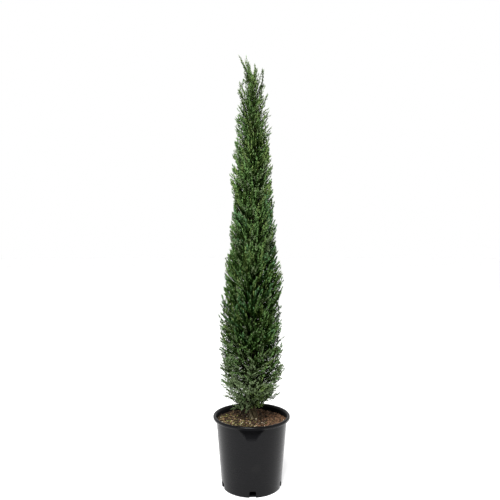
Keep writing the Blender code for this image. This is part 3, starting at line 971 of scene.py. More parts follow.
@dataclass
class PottingMix:
    """Bed of moist bark mix, with loose chips and white grains on it."""

    pot: NurseryPot
    seed: int = 5
    floor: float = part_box("potting_mix")[0].z
    top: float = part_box("potting_mix")[1].z
    inner_radius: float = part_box("potting_mix")[1].x
    shelf: float = 0.038
    clearance: float = 0.0004
    edge_drop: float = 0.004
    top_room: float = 0.0022
    lump_pitch: float = 0.045
    lump_height: float = 0.0024
    crumb_pitch: float = 0.011
    crumb_height: float = 0.0013
    rim_sink: float = 0.0022
    back_sink: float = 0.0065
    tilt: float = 0.0040
    trunk_radius: float = 0.019
    rings: int = 90
    spokes: int = 220

    def surface(self, x: Array, y: Array) -> Array:
        """Height of the bed: it sinks to the back and right, and is lumpy.

        Args:
            x: x of each place.
            y: y of each place.

        Returns:
            Heights above the studio's floor.
        """
        random = np.random.default_rng(self.seed)
        points = np.stack((x, y, np.zeros_like(x)), axis=-1)
        lumps = ripples(points, self.lump_pitch, 24, random) * self.lump_height
        crumbs = ripples(points, self.crumb_pitch, 40, random) * self.crumb_height
        reach = np.hypot(x, y) / self.inner_radius
        back = smooth_step(y / self.inner_radius, -0.3, 0.4)
        mound = -self.rim_sink * smooth_step(reach, 0.3, 1.0)
        mound = mound - self.back_sink * back * smooth_step(reach, 0.82, 1.0)
        tilt = -self.tilt * (0.8 * y + 0.2 * x) / self.inner_radius
        level = smooth_step(np.hypot(x, y), self.trunk_radius * 0.8, self.trunk_radius * 2.2)
        height = self.top - self.top_room + mound + (tilt + lumps + crumbs) * level
        return np.minimum(height, self.top)

    def wall(self, azimuth: Array, height: Array) -> Array:
        """Radius of the pot's inner wall, which the scoops push in, with some room."""
        inner = self.pot.wall_radius(height) - self.pot.wall - self.clearance
        return inner - self.pot.scoop(azimuth, height)

    def build(self) -> None:
        """Makes the bed as a closed turned grid, then the loose bits."""
        azimuth = np.linspace(0.0, FULL_TURN, self.spokes, endpoint=False)
        rim = self.wall(azimuth, np.full(self.spokes, self.top - self.edge_drop))
        radii = rim * np.linspace(1.0, 0.01, self.rings)[:, None]
        x, y = radii * np.cos(azimuth), radii * np.sin(azimuth)
        top = np.stack((x, y, self.surface(x, y)), axis=-1)
        inset = self.pot.drain_inner - 0.020
        levels = [(0.05, self.floor), (inset, self.floor), (inset, self.shelf)]
        heights = np.linspace(self.shelf + 0.004, self.top - 0.012, 24)
        levels += [(None, height) for height in heights]
        side = []
        for radius, height in levels:
            radius = self.wall(azimuth, height) if radius is None else radius
            ring = np.broadcast_arrays(radius * np.cos(azimuth), radius * np.sin(azimuth), height)
            side.append(np.stack(ring, axis=-1))
        points, faces = turned_surface(np.concatenate((np.stack(side), top)))
        bed = make_piece("soil_bed", points, faces, [SoilFinish().material()])
        settle(bed, ("potting_mix",))
        random = np.random.default_rng(self.seed + 1)
        for kind in Chip:
            self.scatter(kind, random)

    def spots(self, kind: Chip, count: int, random: np.random.Generator) -> tuple[Array, Array]:
        """Places for loose bits, denser where the kind gathers.

        Args:
            kind: what is scattered.
            count: how many bits.
            random: source of the places.

        Returns:
            The x and the y of each bit.
        """
        tries = count * 6
        azimuth = random.uniform(0.0, FULL_TURN, tries)
        reach = self.wall(azimuth, np.full(tries, self.top - self.edge_drop)) - 0.004
        radius = reach * np.sqrt(random.uniform(0.015, 1.0, tries))
        x, y = radius * np.cos(azimuth), radius * np.sin(azimuth)
        left = 1.0 - smooth_step(x, -0.06, 0.05)
        front = 1.0 - smooth_step(y, -0.10, 0.02)
        weight = {
            Chip.DARK: 0.6 + 0.4 * left,
            Chip.RED: 0.06 + 0.94 * (1.0 - left) * smooth_step(x, 0.00, 0.09),
            Chip.TAN: 0.16 + 0.84 * left**1.5,
            Chip.MOSS: 0.05 + 0.95 * left**1.5 * (0.25 + 0.75 * front),
            Chip.PERLITE: 0.10 + 0.90 * front * (0.4 + 0.6 * radius / self.inner_radius),
        }[kind]
        kept = np.flatnonzero(random.uniform(size=tries) < weight)[:count]
        return x[kept], y[kept]

    def scatter(self, kind: Chip, random: np.random.Generator) -> None:
        """Lays loose bits on the bed: bent slabs, or round grains, of eight corners.

        Args:
            kind: what is laid.
            random: source of places, sizes and turns.
        """
        name, colour, mottle, count, least, most = kind.value
        x, y = self.spots(kind, count, random)
        count = len(x)
        length = least + (most - least) * random.beta(1.4, 3.0, count)
        if kind is Chip.PERLITE:
            wide = length * random.uniform(0.7, 1.0, count)
            shape = np.column_stack((length, wide, length * 0.75))
            tilt = random.normal(0.0, 0.5, (count, 3))
        else:
            wide = length * random.uniform(0.32, 0.62, count)
            shape = np.column_stack((length, wide, wide * random.uniform(0.3, 0.7, count)))
            tilt = random.normal(0.0, 0.30, (count, 3))
        turn = random.uniform(0.0, FULL_TURN, count)
        ahead = unit(np.column_stack((np.cos(turn), np.sin(turn), tilt[:, 0])))
        up = unit(np.column_stack((tilt[:, 1], tilt[:, 2], np.ones(count))))
        beside = unit(np.cross(up, ahead))
        up = np.cross(ahead, beside)
        square = ((-1, -1), (1, -1), (1, 1), (-1, 1))
        signs = np.array([(*corner, level) for level in (-1, 1) for corner in square])
        local = signs * 0.5 * random.uniform(0.45, 1.0, (count, 8, 3)) * shape[:, None]
        lift = self.surface(x, y) + shape[:, 2] * 0.30
        middle = np.column_stack((x, y, lift))
        axes = np.stack((ahead, beside, up), axis=1)
        points = middle[:, None] + np.einsum("nck,nkj->ncj", local, axes)
        quads = np.array(
            ((3, 2, 1, 0), (4, 5, 6, 7), (0, 1, 5, 4), (1, 2, 6, 5), (2, 3, 7, 6), (3, 0, 4, 7))
        )
        faces = (quads[None] + np.arange(count)[:, None, None] * 8).reshape(-1, 4)
        finish = ChipFinish(name, colour, mottle).material()
        piece = make_piece(name, points.reshape(-1, 3), [faces], [finish], smooth=False)
        settle(piece)


# Wood


@dataclass
class Trunk:
    """Fluted, fibrous stem, read from the frame's trunk and given its bark."""

    seed: int = 3
    rows: int = 300
    columns: int = 56
    fissure_depth: float = 0.0011
    fissure_pitch: float = 0.0050
    fine_pitch: float = 0.0022
    cleft_heights: tuple[float, float] = (0.2600, 0.3060)
    cleft_azimuths_deg: tuple[float, float] = (-72.0, -152.0)
    cleft_depth: float = 0.0068
    cleft_half_width_deg: float = 10.0
    ridge_lag_deg: float = -27.0
    ridge_rise: float = 0.0030
    ridge_half_width_deg: float = 15.0
    sunk: float = 0.002

    def __post_init__(self) -> None:
        """Reads the heights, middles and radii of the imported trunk's rings."""
        corners = node_triangles("trunk").reshape(-1, 3)
        self.heights = np.unique(corners[:, 2].round(5))
        self.azimuth = np.linspace(-math.pi, math.pi, self.columns, endpoint=False)
        middles, radii = [], []
        for height in self.heights:
            ring = np.unique(corners[np.abs(corners[:, 2] - height) < 2e-5].round(6), axis=0)
            middle = (ring.min(0) + ring.max(0))[:2] / 2
            offset = ring[:, :2] - middle
            reach = np.hypot(offset[:, 0], offset[:, 1])
            outer = reach > reach.max() * 0.5
            angle = np.arctan2(offset[outer, 1], offset[outer, 0])
            radii.append(np.interp(self.azimuth, angle, reach[outer], period=FULL_TURN))
            middles.append(middle)
        self.middles = np.array(middles)
        self.radii = np.array(radii)

    def middle(self, height: Array) -> Array:
        """Middle of the stem at the heights, as x and y.

        Args:
            height: the heights.

        Returns:
            x and y of each, on the last axis.
        """
        x = np.interp(height, self.heights, self.middles[:, 0])
        y = np.interp(height, self.heights, self.middles[:, 1])
        return np.stack((x, y), axis=-1)

    def bell(self, height: Array, lag_deg: float, half_width_deg: float) -> Array:
        """Bell of azimuth whose middle turns as it rises, and which fades at the top.

        Args:
            height: heights, one row to each.
            lag_deg: turn from the cleft's middle to the bell's.
            half_width_deg: half width of the bell.

        Returns:
            From 0 to 1, heights by azimuths.
        """
        low, high = self.cleft_heights
        share = np.clip((height - low) / (high - low), 0.0, 1.0)
        start, end = np.radians(self.cleft_azimuths_deg)
        middle = start + (end - start) * share + math.radians(lag_deg)
        off = np.angle(np.exp(1j * (self.azimuth - middle)))
        fade = smooth_step(high + 0.012 - height, 0.0, 0.015)
        return np.exp(-((off / math.radians(half_width_deg)) ** 2)) * fade

    def relief(self, height: Array, radius: Array) -> Array:
        """How far the bark stands in: fissures, the cleft, and less at its ridge.

        Fissures are the positive part of noise that is drawn out along Z. The cleft
        is a bell-shaped groove that turns as it rises, with a ridge on its left.

        Args:
            height: heights, one row to each.
            radius: the stem's plain radii, heights by azimuths.

        Returns:
            Depths in metres, heights by azimuths.
        """
        random = np.random.default_rng(self.seed)
        x, y = radius * np.cos(self.azimuth), radius * np.sin(self.azimuth)
        drawn = np.stack((x, y, np.broadcast_to(height * 0.10, x.shape)), axis=-1)
        fissures = np.maximum(ripples(drawn, self.fissure_pitch, 60, random), 0.0)
        fine = ripples(drawn, self.fine_pitch, 60, random) * 0.25
        thick = radius / self.radii[0].mean()
        cleft = self.cleft_depth * self.bell(height, 0.0, self.cleft_half_width_deg)
        ridge = self.ridge_rise * self.bell(height, self.ridge_lag_deg, self.ridge_half_width_deg)
        return self.fissure_depth * (fissures + fine) * thick**0.7 + cleft - ridge

    def build(self) -> None:
        """Makes the stem as a grid of heights and azimuths."""
        share = np.linspace(0.0, 1.0, self.rows)
        low, high = self.heights[0] - self.sunk, self.heights[-1]
        height = low + (high - low) * share**1.7
        radius = np.stack(
            [np.interp(height, self.heights, column) for column in self.radii.T], axis=-1
        )
        radius = radius - self.relief(height[:, None], radius)
        middle = self.middle(height)
        x = middle[:, :1] + radius * np.cos(self.azimuth)
        y = middle[:, 1:] + radius * np.sin(self.azimuth)
        grid = np.stack((x, y, np.broadcast_to(height[:, None], x.shape)), axis=-1)
        points, faces = turned_surface(grid)
        stem = make_piece("trunk_bark", points, faces, [BarkFinish().material()])
        # Ridge painted paler: partly bare bark, partly painted light.
        pale = self.bell(height[:, None], self.ridge_lag_deg, self.ridge_half_width_deg)
        paint(stem, "worn", np.append(pale.ravel(), (0.0, 0.0)))
        settle(stem, ("trunk",))


@dataclass
class LowBoughs:
    """The bare boughs under the crown, each along the parabola of its solid."""

    names: tuple[str, ...] = (
        "right", "back_right", "back_left", "left", "front_left", "front_right",
    )
    seed: int = 9
    thick: float = 0.0046
    thin: float = 0.0026
    relief: float = 0.16
    rooted: float = 0.007
    sunk: float = 0.012
    rings: int = 26
    sides: int = 14
    ends: dict[str, Array] = field(default_factory=dict)

    def path(self, name: str, trunk: Trunk) -> Array:
        """Points along a bough, fitted through the solid's corners by their reach.

        Args:
            name: the bough's name.
            trunk: the trunk that it leaves.

        Returns:
            Points along its middle, from the trunk outwards.
        """
        corners = node_triangles(f"bough_{name}").reshape(-1, 3)
        reach = np.hypot(*(corners[:, :2] - trunk.middle(corners[:, 2])).T)
        along = np.linspace(reach.min() - self.rooted, reach.max() + self.sunk, self.rings)
        fits = [np.polyfit(reach, axis, 2) for axis in corners.T]
        return np.stack([np.polyval(fit, along) for fit in fits], axis=-1)

    def build(self, trunk: Trunk, bark: bpy.types.Material) -> None:
        """Makes each bough and notes where it enters its mass.

        Args:
            trunk: the trunk that they leave.
            bark: their material.
        """
        random = np.random.default_rng(self.seed)
        radii = np.linspace(self.thick, self.thin, self.rings)
        for name in self.names:
            path = self.path(name, trunk)
            self.ends[name] = path[-1]
            across = np.cross(path[-1] - path[0], (0.0, 0.0, 1.0))
            points, faces = sweep(path[None], radii[None], across[None], self.sides)
            core = np.repeat(path, self.sides, axis=0)
            outward = points[: len(core)] - core
            swell = ripples(points[: len(core)], 0.006, 40, random)
            points[: len(core)] += outward * self.relief * swell[:, None]
            piece = make_piece(f"bough_bark_{name}", points, [faces], [bark])
            settle(piece, (f"bough_{name}",))


# Foliage


@dataclass(frozen=True)
class Habit:
    """How the foliage of a tier grows.

    Shoots are counted to a square metre of skin. Length is that of a shoot and spray
    that of its lowest spray. Wander is the spread of the headings round the axis, and
    the tips end between least and most beyond the skin, less the length of a tip. Gap
    is a factor of the distance between sprays, and girth one of the width of a leaf.
    Stem is the radius of the mass's own stem at its foot.
    """

    shoots: float
    length: float
    spray: float
    wander: float = 0.13
    least: float = -0.018
    most: float = -0.004
    gap: float = 1.0
    girth: float = 1.0
    stem: float = 0.0030


HABITS = {
    "fringe": Habit(2800.0, 0.060, 0.0180, 0.34, -0.022, 0.012, 1.2, 0.85, 0.0018),
    "skirt": Habit(4000.0, 0.060, 0.0134, 0.26, -0.016, 0.008, 0.87, 0.92),
    "low": Habit(4500.0, 0.060, 0.0130, 0.15, -0.016, -0.002, 0.87, 0.92),
    "middle": Habit(4200.0, 0.068, 0.0135, 0.14, -0.017, -0.003, 0.93, 0.96),
    "upper": Habit(3900.0, 0.074, 0.0135),
    "top": Habit(3700.0, 0.056, 0.0160, 0.25, -0.010, 0.008, 1.5, 0.75, 0.0018),
    "leader": Habit(3700.0, 0.040, 0.0125, 0.35, -0.008, 0.002, 1.1, 0.66, 0.0015),
}

# Lean of the shoots' tips off the vertical, by height
LEAN_DEG = (
    (0.380, 70.0), (0.420, 60.0), (0.480, 50.0), (0.600, 40.0), (0.800, 36.0), (1.100, 33.0),
    (1.500, 32.0),
)

# How far the tips reach beyond the skin: height, and the reach on the left and on the right
SPREAD = (
    (0.370, 0.004, 0.000), (0.390, 0.036, 0.012), (0.430, 0.026, 0.012), (0.468, 0.012, 0.022),
    (0.507, 0.005, 0.010), (0.570, 0.000, 0.005), (0.633, 0.001, 0.005), (0.695, 0.007, 0.001),
    (0.758, 0.010, 0.011), (0.821, 0.011, 0.020), (0.884, 0.013, 0.016), (0.946, 0.005, 0.002),
    (1.009, 0.011, 0.011), (1.072, 0.004, 0.002), (1.135, 0.007, 0.015), (1.197, 0.010, 0.006),
    (1.260, 0.014, 0.014), (1.323, 0.013, 0.008), (1.385, 0.012, 0.008), (1.448, 0.009, 0.007),
    (1.530, 0.010, 0.008), (1.590, 0.006, 0.006), (1.640, 0.000, 0.000),
)

# Painted light of the foliage, how much lighter its tones are dealt: height, and how much on the
# left and on the right
PAINTED_LIGHT = (
    (0.36, 1.10, 0.95), (0.44, 0.66, 0.38), (0.50, 0.32, 0.12), (0.60, 0.00, 0.00),
    (0.80, 0.00, 0.07), (1.00, 0.12, 0.32), (1.20, 0.40, 0.25), (1.40, 0.40, 0.36),
    (1.60, 0.52, 0.52),
)

# Furrows of a third of the crown, whose shoots are set in and whose leaves get painted shade: x,
# height, half width, half length and depth
FURROWS = (
    (0.0055, 1.326, 0.019, 0.200, 1.0),
    (-0.0383, 1.136, 0.010, 0.055, 0.7),
    (-0.0154, 1.044, 0.010, 0.050, 1.0),
    (0.0284, 1.022, 0.010, 0.090, 0.8),
    (-0.0383, 0.926, 0.010, 0.045, 0.9),
    (-0.0211, 0.755, 0.013, 0.095, 1.2),
    (0.0474, 0.793, 0.012, 0.075, 1.0),
    (0.0627, 0.892, 0.008, 0.040, 0.6),
    (0.0112, 0.629, 0.009, 0.055, 1.0),
    (-0.0516, 0.606, 0.012, 0.065, 0.8),
    (0.0532, 0.587, 0.012, 0.085, 0.6),
    (0.0322, 0.477, 0.010, 0.050, 0.9),
    (-0.0325, 0.515, 0.010, 0.050, 0.5),
    (0.0036, 0.397, 0.012, 0.050, 1.2),
)

# The crown's heart, whose shoots grow on the trunk itself: height and half width
HEART = ((1.240, 0.034), (1.400, 0.036), (1.500, 0.034), (1.560, 0.022), (1.590, 0.012))

# The feathery tip of the crown: height, middle's x and half width
CONE = (
    (1.520, 0.002, 0.049), (1.565, 0.006, 0.044), (1.590, 0.012, 0.036), (1.612, 0.008, 0.032),
    (1.636, -0.006, 0.019), (1.660, -0.024, 0.008),
)

# Shoots that stand clear of the crown's tip: x, y and height of their ends
LEADING_SHOOTS = (
    (-0.020, -0.006, 1.668), (0.013, 0.006, 1.642), (0.042, -0.006, 1.617), (0.036, 0.010, 1.600),
    (-0.047, 0.004, 1.572), (0.052, -0.008, 1.553), (0.020, -0.012, 1.612), (0.058, 0.006, 1.512),
)


def by_side(table: tuple, height: Array, right: Array) -> Array:
    """Reads a table of heights, left values and right values, mixed by the share of the right.

    Args:
        table: rows of a height, a left value and a right value.
        height: where to read it.
        right: share of the right value, from 0 to 1.

    Returns:
        The value at each height.
    """
    heights, left_values, right_values = np.transpose(table)
    left, full = (np.interp(height, heights, values) for values in (left_values, right_values))
    return left + (full - left) * right


@dataclass(frozen=True)
class Layer:
    """Foliage at one depth of a mass.

    Inward holds the least and most share of the way from the skin to the axis, amount
    is the share of the tier's shoots, gap the distance between sprays along a shoot,
    and width that of a leaf.
    """

    inward: tuple[float, float]
    amount: float
    gap: float
    width: float


LAYERS = (Layer((0.08, 0.60), 0.56, 0.0080, 0.0032), Layer((0.0, 0.0), 1.0, 0.0046, 0.0025))
HEART_LAYER = Layer((0.10, 0.10), 1.0, 0.0050, 0.0028)


@dataclass
class Mass:
    """A packed mass of foliage, as the triangles of its skin."""

    name: str

    def __post_init__(self) -> None:
        """Reads the skin and its normals and areas, sorted by height."""
        corners = node_triangles(f"foliage_{self.name}")
        corners = corners[np.argsort(corners[:, :, 2].mean(1))]
        cross = np.cross(corners[:, 1] - corners[:, 0], corners[:, 2] - corners[:, 0])
        self.corners = corners
        self.normals = unit(cross)
        self.areas = np.linalg.norm(cross, axis=1) / 2
        self.low = corners[..., 2].min()
        self.high = corners[..., 2].max()

    @property
    def tier(self) -> str:
        """Name of the tier that the mass belongs to."""
        return self.name.split("_")[0]

    @property
    def habit(self) -> Habit:
        """How the mass's tier grows."""
        return HABITS[self.tier]

    @property
    def feathery(self) -> bool:
        """Whether it is of the crown's tip, where the shoots stand apart."""
        return self.tier in ("top", "leader")

    def rise(self, height: Array) -> Array:
        """Share of the way from the mass's foot to its top."""
        return (height - self.low) / (self.high - self.low)

    def middle(self, height: Array) -> Array:
        """Middle of the mass near each height, as x and y.

        It is the mean of the skin's corners, weighted by a bell in height.

        Args:
            height: the heights.

        Returns:
            x and y of each, on the last axis.
        """
        corners = self.corners.reshape(-1, 3)
        spread = max(0.010, 0.06 * (self.high - self.low))
        off = (np.asarray(height)[..., None] - corners[:, 2]) / spread
        weight = np.exp(-(off**2)) + 1e-12
        return (weight[..., None] * corners[:, :2]).sum(-2) / weight.sum(-1)[..., None]

    def skin(self, random: np.random.Generator) -> tuple[Array, Array]:
        """Evenly spread points of the skin and their normals.

        Args:
            random: source of the places.

        Returns:
            The points and the normals.
        """
        count = max(4, round(self.areas.sum() * self.habit.shoots))
        picks = (np.arange(count) + random.uniform(size=count)) / count * self.areas.sum()
        chosen = np.searchsorted(np.cumsum(self.areas), picks).clip(max=len(self.areas) - 1)
        first = np.sqrt(random.uniform(size=(count, 1)))
        second = random.uniform(size=(count, 1))
        corners = self.corners[chosen]
        points = corners[:, 0] * (1 - first) + corners[:, 1] * first * (1 - second)
        return points + corners[:, 2] * first * second, self.normals[chosen]


@dataclass
class Sprays:
    """Leaves or twigs of one piece as they grow: points, triangles and materials."""

    points: list[Array] = field(default_factory=list)
    faces: list[Array] = field(default_factory=list)
    tones: list[Array] = field(default_factory=list)
    count: int = 0

    def add(self, points: Array, faces: Array, tones: Array) -> None:
        """Adds solids of one kind, with the material's number of each.

        Args:
            points: points of them all.
            faces: their triangles, solid by solid.
            tones: the material's number of each solid.
        """
        self.points.append(points)
        self.faces.append(faces + self.count)
        self.tones.append(np.repeat(tones, len(faces) // len(tones)))
        self.count += len(points)

    def piece(
        self, name: str, materials: list[bpy.types.Material], smooth: bool
    ) -> bpy.types.Object:
        """Makes all of them one piece."""
        points, faces, tones = map(np.concatenate, (self.points, self.faces, self.tones))
        return make_piece(name, points, [faces], materials, tones, smooth)


@dataclass
class Crown:
    """Foliage of the tree: shoots grown to the skin of each mass, and their sprays.

    A point of the skin bears a shoot where nothing lies within clear of it, which
    goes over to top_clear between the two top_heights. Side leaves stand at places
    along a spray, and close leaves at tip_places along a shoot. Openings in pairs are
    the mean and the deviation of a normal draw. Twig_feet are the radii of the old
    and the young twigs where they start.
    """

    trunk: Trunk
    boughs: LowBoughs
    seed: int = 21
    clear: float = 0.030
    top_clear: float = 0.004
    top_heights: tuple[float, float] = (1.36, 1.48)
    foot_lean_deg: float = 20.0
    least_lean_deg: float = 5.0
    lean_spread_deg: float = 11.0
    length_range: tuple[float, float] = (0.82, 1.15)
    size_range: tuple[float, float] = (0.8, 1.2)
    places: tuple[float, ...] = (0.22, 0.46, 0.70)
    tip_places: tuple[float, ...] = (0.84, 0.90, 0.95, 0.99)
    opening_deg: tuple[float, float] = (39.0, 9.0)
    opening_drop_deg: float = 15.0
    side_opening_deg: tuple[float, float] = (25.0, 6.0)
    tip_opening_deg: tuple[float, float] = (9.0, 3.0)
    light_spread: float = 0.36
    light_steps: tuple[float, float] = (0.46, 0.98)
    shaded_stem_depth: float = 0.12
    spire: float = 0.095
    spire_hug: float = 0.16
    droop: float = 0.018
    rise: float = 0.026
    sag: float = 0.030
    hug_deg: float = 12.0
    hug_reach: float = 0.009
    sprig_share: float = 0.03
    sprig_reach: float = 0.014
    deep_shade: float = 1.3
    furrow_shade: float = 0.62
    furrow_inset: float = 0.010
    fan_height: float = 0.300
    hang: float = 0.022
    fan_scatter: float = 0.22
    cone_shoots: int = 34
    heart_shoots: int = 200
    heart_length: float = 0.060
    cone_length: float = 0.056
    bow: Triple = (0.65, 0.65, 0.40)
    bough_low: float = 0.30
    stem_end: float = 0.0005
    twig_feet: tuple[float, float] = (0.0012, 0.0008)
    twig_end: float = 0.0007
    shoot_radii: tuple[float, float] = (0.0010, 0.0004)
    hue_pitch: float = 0.11
    blue_pitch: float = 0.10
    drift_pitch: float = 0.16
    streak_pitch: float = 0.045
    twigs: Sprays = field(default_factory=Sprays)

    def __post_init__(self) -> None:
        """Reads the masses and makes the finishes of wood and leaves."""
        self.random = np.random.default_rng(self.seed)
        names = sorted(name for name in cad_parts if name.startswith("foliage_"))
        self.masses = [Mass(name.removeprefix("foliage_")) for name in names]
        corners = np.concatenate([mass.corners for mass in self.masses]).reshape(-1, 3)
        triangles = np.arange(len(corners)).reshape(-1, 3)
        self.skin = BVHTree.FromPolygons(corners.tolist(), triangles.tolist())
        self.leaves = [LeafFinish(hue, depth).material() for hue in Hue for depth in PaintedShading]

    def axis(self, mass: Mass, height: Array) -> Array:
        """Line that a mass's shoots lean away from, as x and y.

        It is the trunk, and goes over to the mass's own middle where the mass
        stands free.

        Args:
            mass: the mass.
            height: the heights.

        Returns:
            x and y of each, on the last axis.
        """
        own = mass.middle(height)
        if mass.tier == "leader":
            return own
        share = mass.rise(height)
        if mass.tier == "top":
            free = smooth_step(share, 0.45, 0.95)
        else:
            free = 0.3 * smooth_step(share, 0.6, 1.0)
        free = np.asarray(free)[..., None]
        return self.trunk.middle(height) * (1.0 - free) + own * free

    def targets(self, mass: Mass) -> Array:
        """Points of a mass's skin that nothing covers.

        Args:
            mass: the mass.

        Returns:
            The points, one row to each.
        """
        points, normals = mass.skin(self.random)
        free = []
        for point, normal in zip(points, normals):
            start = Vector(point + normal * 0.001)
            reach = np.interp(point[2], self.top_heights, (self.clear, self.top_clear))
            hit = self.skin.ray_cast(start, Vector(normal), reach)
            free.append(hit[0] is None)
        free = np.array(free)
        if mass.feathery:
            thin = 0.70 * smooth_step(mass.rise(points[:, 2]), 0.5, 0.95)
            free &= self.random.uniform(size=len(points)) > thin
        if mass.tier not in ("fringe", "skirt"):
            free &= normals[:, 2] > -0.5
        return points[free]

    def shoots(self, mass: Mass, tips: Array) -> tuple[Arcs, Array]:
        """Curves of the leafy shoots that end at the tips.

        A shoot's tip leans off the axis by the lean of its height, and its foot
        leans further, so the shoot curves upwards.

        Args:
            mass: the mass that the shoots belong to.
            tips: where they end.

        Returns:
            The curves, and a level vector to the side of each.
        """
        if mass.tier == "fringe":
            return self.fan(mass, tips)
        count = len(tips)
        height = tips[:, 2]
        axis = self.axis(mass, height)
        slope = (self.axis(mass, height + 0.01) - self.axis(mass, height - 0.01)) / 0.02
        up = unit(np.column_stack((slope, np.ones(count))))
        outward = tips[:, :2] - axis
        reach = np.linalg.norm(outward, axis=1)
        turn = np.arctan2(outward[:, 1], outward[:, 0])
        turn = self.random.normal(0.0, mass.habit.wander * 2.0, count) + turn
        outward, beside = compass(turn)
        hug = smooth_step(mass.rise(height), 0.60, 1.0) * (not mass.feathery)
        lean = np.interp(height, *np.transpose(LEAN_DEG)) - self.hug_deg * hug
        lean += self.random.normal(0.0, self.lean_spread_deg, count)
        lean = np.radians(np.maximum(lean, self.least_lean_deg))[:, None]
        foot = lean + math.radians(self.foot_lean_deg)
        least, slender = (0.022, 2.4) if mass.feathery else (0.016, 1.7)
        length = np.clip(reach * slender, least, mass.habit.length)
        length = (length * self.random.uniform(*self.length_range, count))[:, None]
        travel = length / 2 * (np.sin(lean) + np.sin(foot))
        upright = np.minimum(1.0, (reach[:, None] + 0.002) / travel)
        lean, foot = lean * upright, foot * upright
        tip_heading = np.cos(lean) * up + np.sin(lean) * outward
        foot_heading = np.cos(foot) * up + np.sin(foot) * outward
        habit = mass.habit
        ends = tips + tip_heading * self.random.uniform(habit.least, habit.most, (count, 1))
        spread = by_side(SPREAD, height, (1.0 + outward[:, 0]) / 2)[:, None]
        low = (1.0 - smooth_step(height, 0.40, 0.50)) * (mass.tier == "skirt")
        ends[:, 2] -= self.sag * low * self.random.uniform(size=count)
        sprigs = self.random.uniform(size=(count, 1)) < self.sprig_share * (mass.tier == "skirt")
        ends += outward * (spread + self.sprig_reach * sprigs - self.hug_reach * hug[:, None])
        ends -= outward * self.furrow_inset * self.furrow(ends)[:, None]
        control = ends - tip_heading * length * 0.5
        return Arcs(control - foot_heading * length * 0.5, control, ends), beside

    def fan(self, mass: Mass, tips: Array) -> tuple[Arcs, Array]:
        """Curves of a fringe's shoots, which spread from the trunk's foot and droop.

        Args:
            mass: the mass that the shoots belong to.
            tips: where they end, but for their droop.

        Returns:
            The curves, and a level vector to the side of each.
        """
        count = len(tips)
        root = np.append(self.trunk.middle(np.float64(self.fan_height)), self.fan_height)
        way = tips - root
        scatter = self.random.normal(0.0, self.fan_scatter, (count, 3))
        heading = unit(unit(way) + scatter)
        length = mass.habit.length * self.random.uniform(*self.length_range, (count, 1))
        length = np.minimum(length, np.linalg.norm(way, axis=1)[:, None] * 0.8)
        start = tips - heading * length
        ends = tips + heading * self.random.uniform(mass.habit.least, mass.habit.most, (count, 1))
        right = (1.0 + heading[:, 0]) / 2
        ends[:, :2] += heading[:, :2] * by_side(SPREAD, tips[:, 2], right)[:, None]
        front = smooth_step(-heading[:, 1], 0.0, 0.8)
        ends[:, 2] += self.random.uniform(-self.droop - self.hang * front, self.rise, count)
        control = (start + ends) / 2 - (0.0, 0.0, 0.08) * length
        beside = unit(np.cross((0.0, 0.0, 1.0), heading))
        return Arcs(start, control, ends), beside

    def furrow(self, places: Array) -> Array:
        """How deep in a furrow each place lies: 0 outside, about 1 in its middle.

        A furrow is a bell in the distance to its side and in height. The furrows of
        the front are repeated, higher and lower, at each third of a turn.

        Args:
            places: points by 3.

        Returns:
            The depth at each.
        """
        away = places[:, :2] - self.trunk.middle(places[:, 2])
        reach = np.maximum(np.hypot(*away.T), 1e-6)
        depth = np.zeros(len(places))
        for turn, lift in ((0.0, 0.0), (FULL_TURN / 3, 0.06), (-FULL_TURN / 3, -0.05)):
            aside = away[:, 0] * math.cos(turn) + away[:, 1] * math.sin(turn)
            ahead = (away[:, 0] * math.sin(turn) - away[:, 1] * math.cos(turn)) / reach
            faced = smooth_step(ahead, 0.15, 0.60)
            for x, height, wide, tall, deep in FURROWS:
                off = ((aside - x) / wide) ** 2 + ((places[:, 2] - height - lift) / tall) ** 2
                depth = np.maximum(depth, deep * np.exp(-off) * faced)
        return depth

    def grow_spire(self, mass: Mass) -> tuple[Arcs, Array]:
        """Curve of the one shoot that ends a mass, through its middle to its top.

        Args:
            mass: the mass.

        Returns:
            The curve, and a level vector to its side.
        """
        corners = mass.corners.reshape(-1, 3)
        below = mass.habit.spray * (1.2 if mass.tier == "top" else 0.6)
        top = corners[corners[:, 2].argmax()] - (0.0, 0.0, below)
        if not mass.feathery:
            top[:2] += (self.trunk.middle(top[2]) - top[:2]) * self.spire_hug
        heights = mass.high - self.spire * np.array((1.0, 0.5))
        start, middle = np.column_stack((mass.middle(heights), heights))
        control = 2.0 * middle - (start + top) / 2
        return Arcs(start[None], control[None], top[None]), np.array(((0.94, 0.34, 0.0),))

    def bowed(self, start: Array, ends: Array, turn: Array) -> tuple[Arcs, Array]:
        """Curves that lean out first and rise later, and a level vector to the side of each."""
        return Arcs(start, start + (ends - start) * self.bow, ends), compass(turn)[1]

    def cone(self) -> tuple[Arcs, Array]:
        """Curves of the shoots that fill the crown's tip, from its middle up and out.

        Returns:
            The curves, and a level vector to the side of each.
        """
        random = self.random
        heights, middles, widths = np.transpose(CONE)
        height = random.uniform(heights[0], heights[-1], self.cone_shoots)
        turn = random.uniform(0.0, FULL_TURN, self.cone_shoots)
        reach = np.interp(height, heights, widths) * np.sqrt(random.uniform(size=self.cone_shoots))
        x = np.interp(height, heights, middles) + reach * np.cos(turn)
        ends = np.column_stack((x, reach * np.sin(turn), height))
        ends = np.concatenate((ends, LEADING_SHOOTS))
        turn = np.append(turn, np.arctan2(*np.transpose(LEADING_SHOOTS)[1::-1]))
        low = ends[:, 2] - self.cone_length
        start = np.column_stack((np.interp(low, heights, middles), 0.0 * low, low))
        start[:, :2] += 0.35 * (ends - start)[:, :2]
        return self.bowed(start, ends, turn)

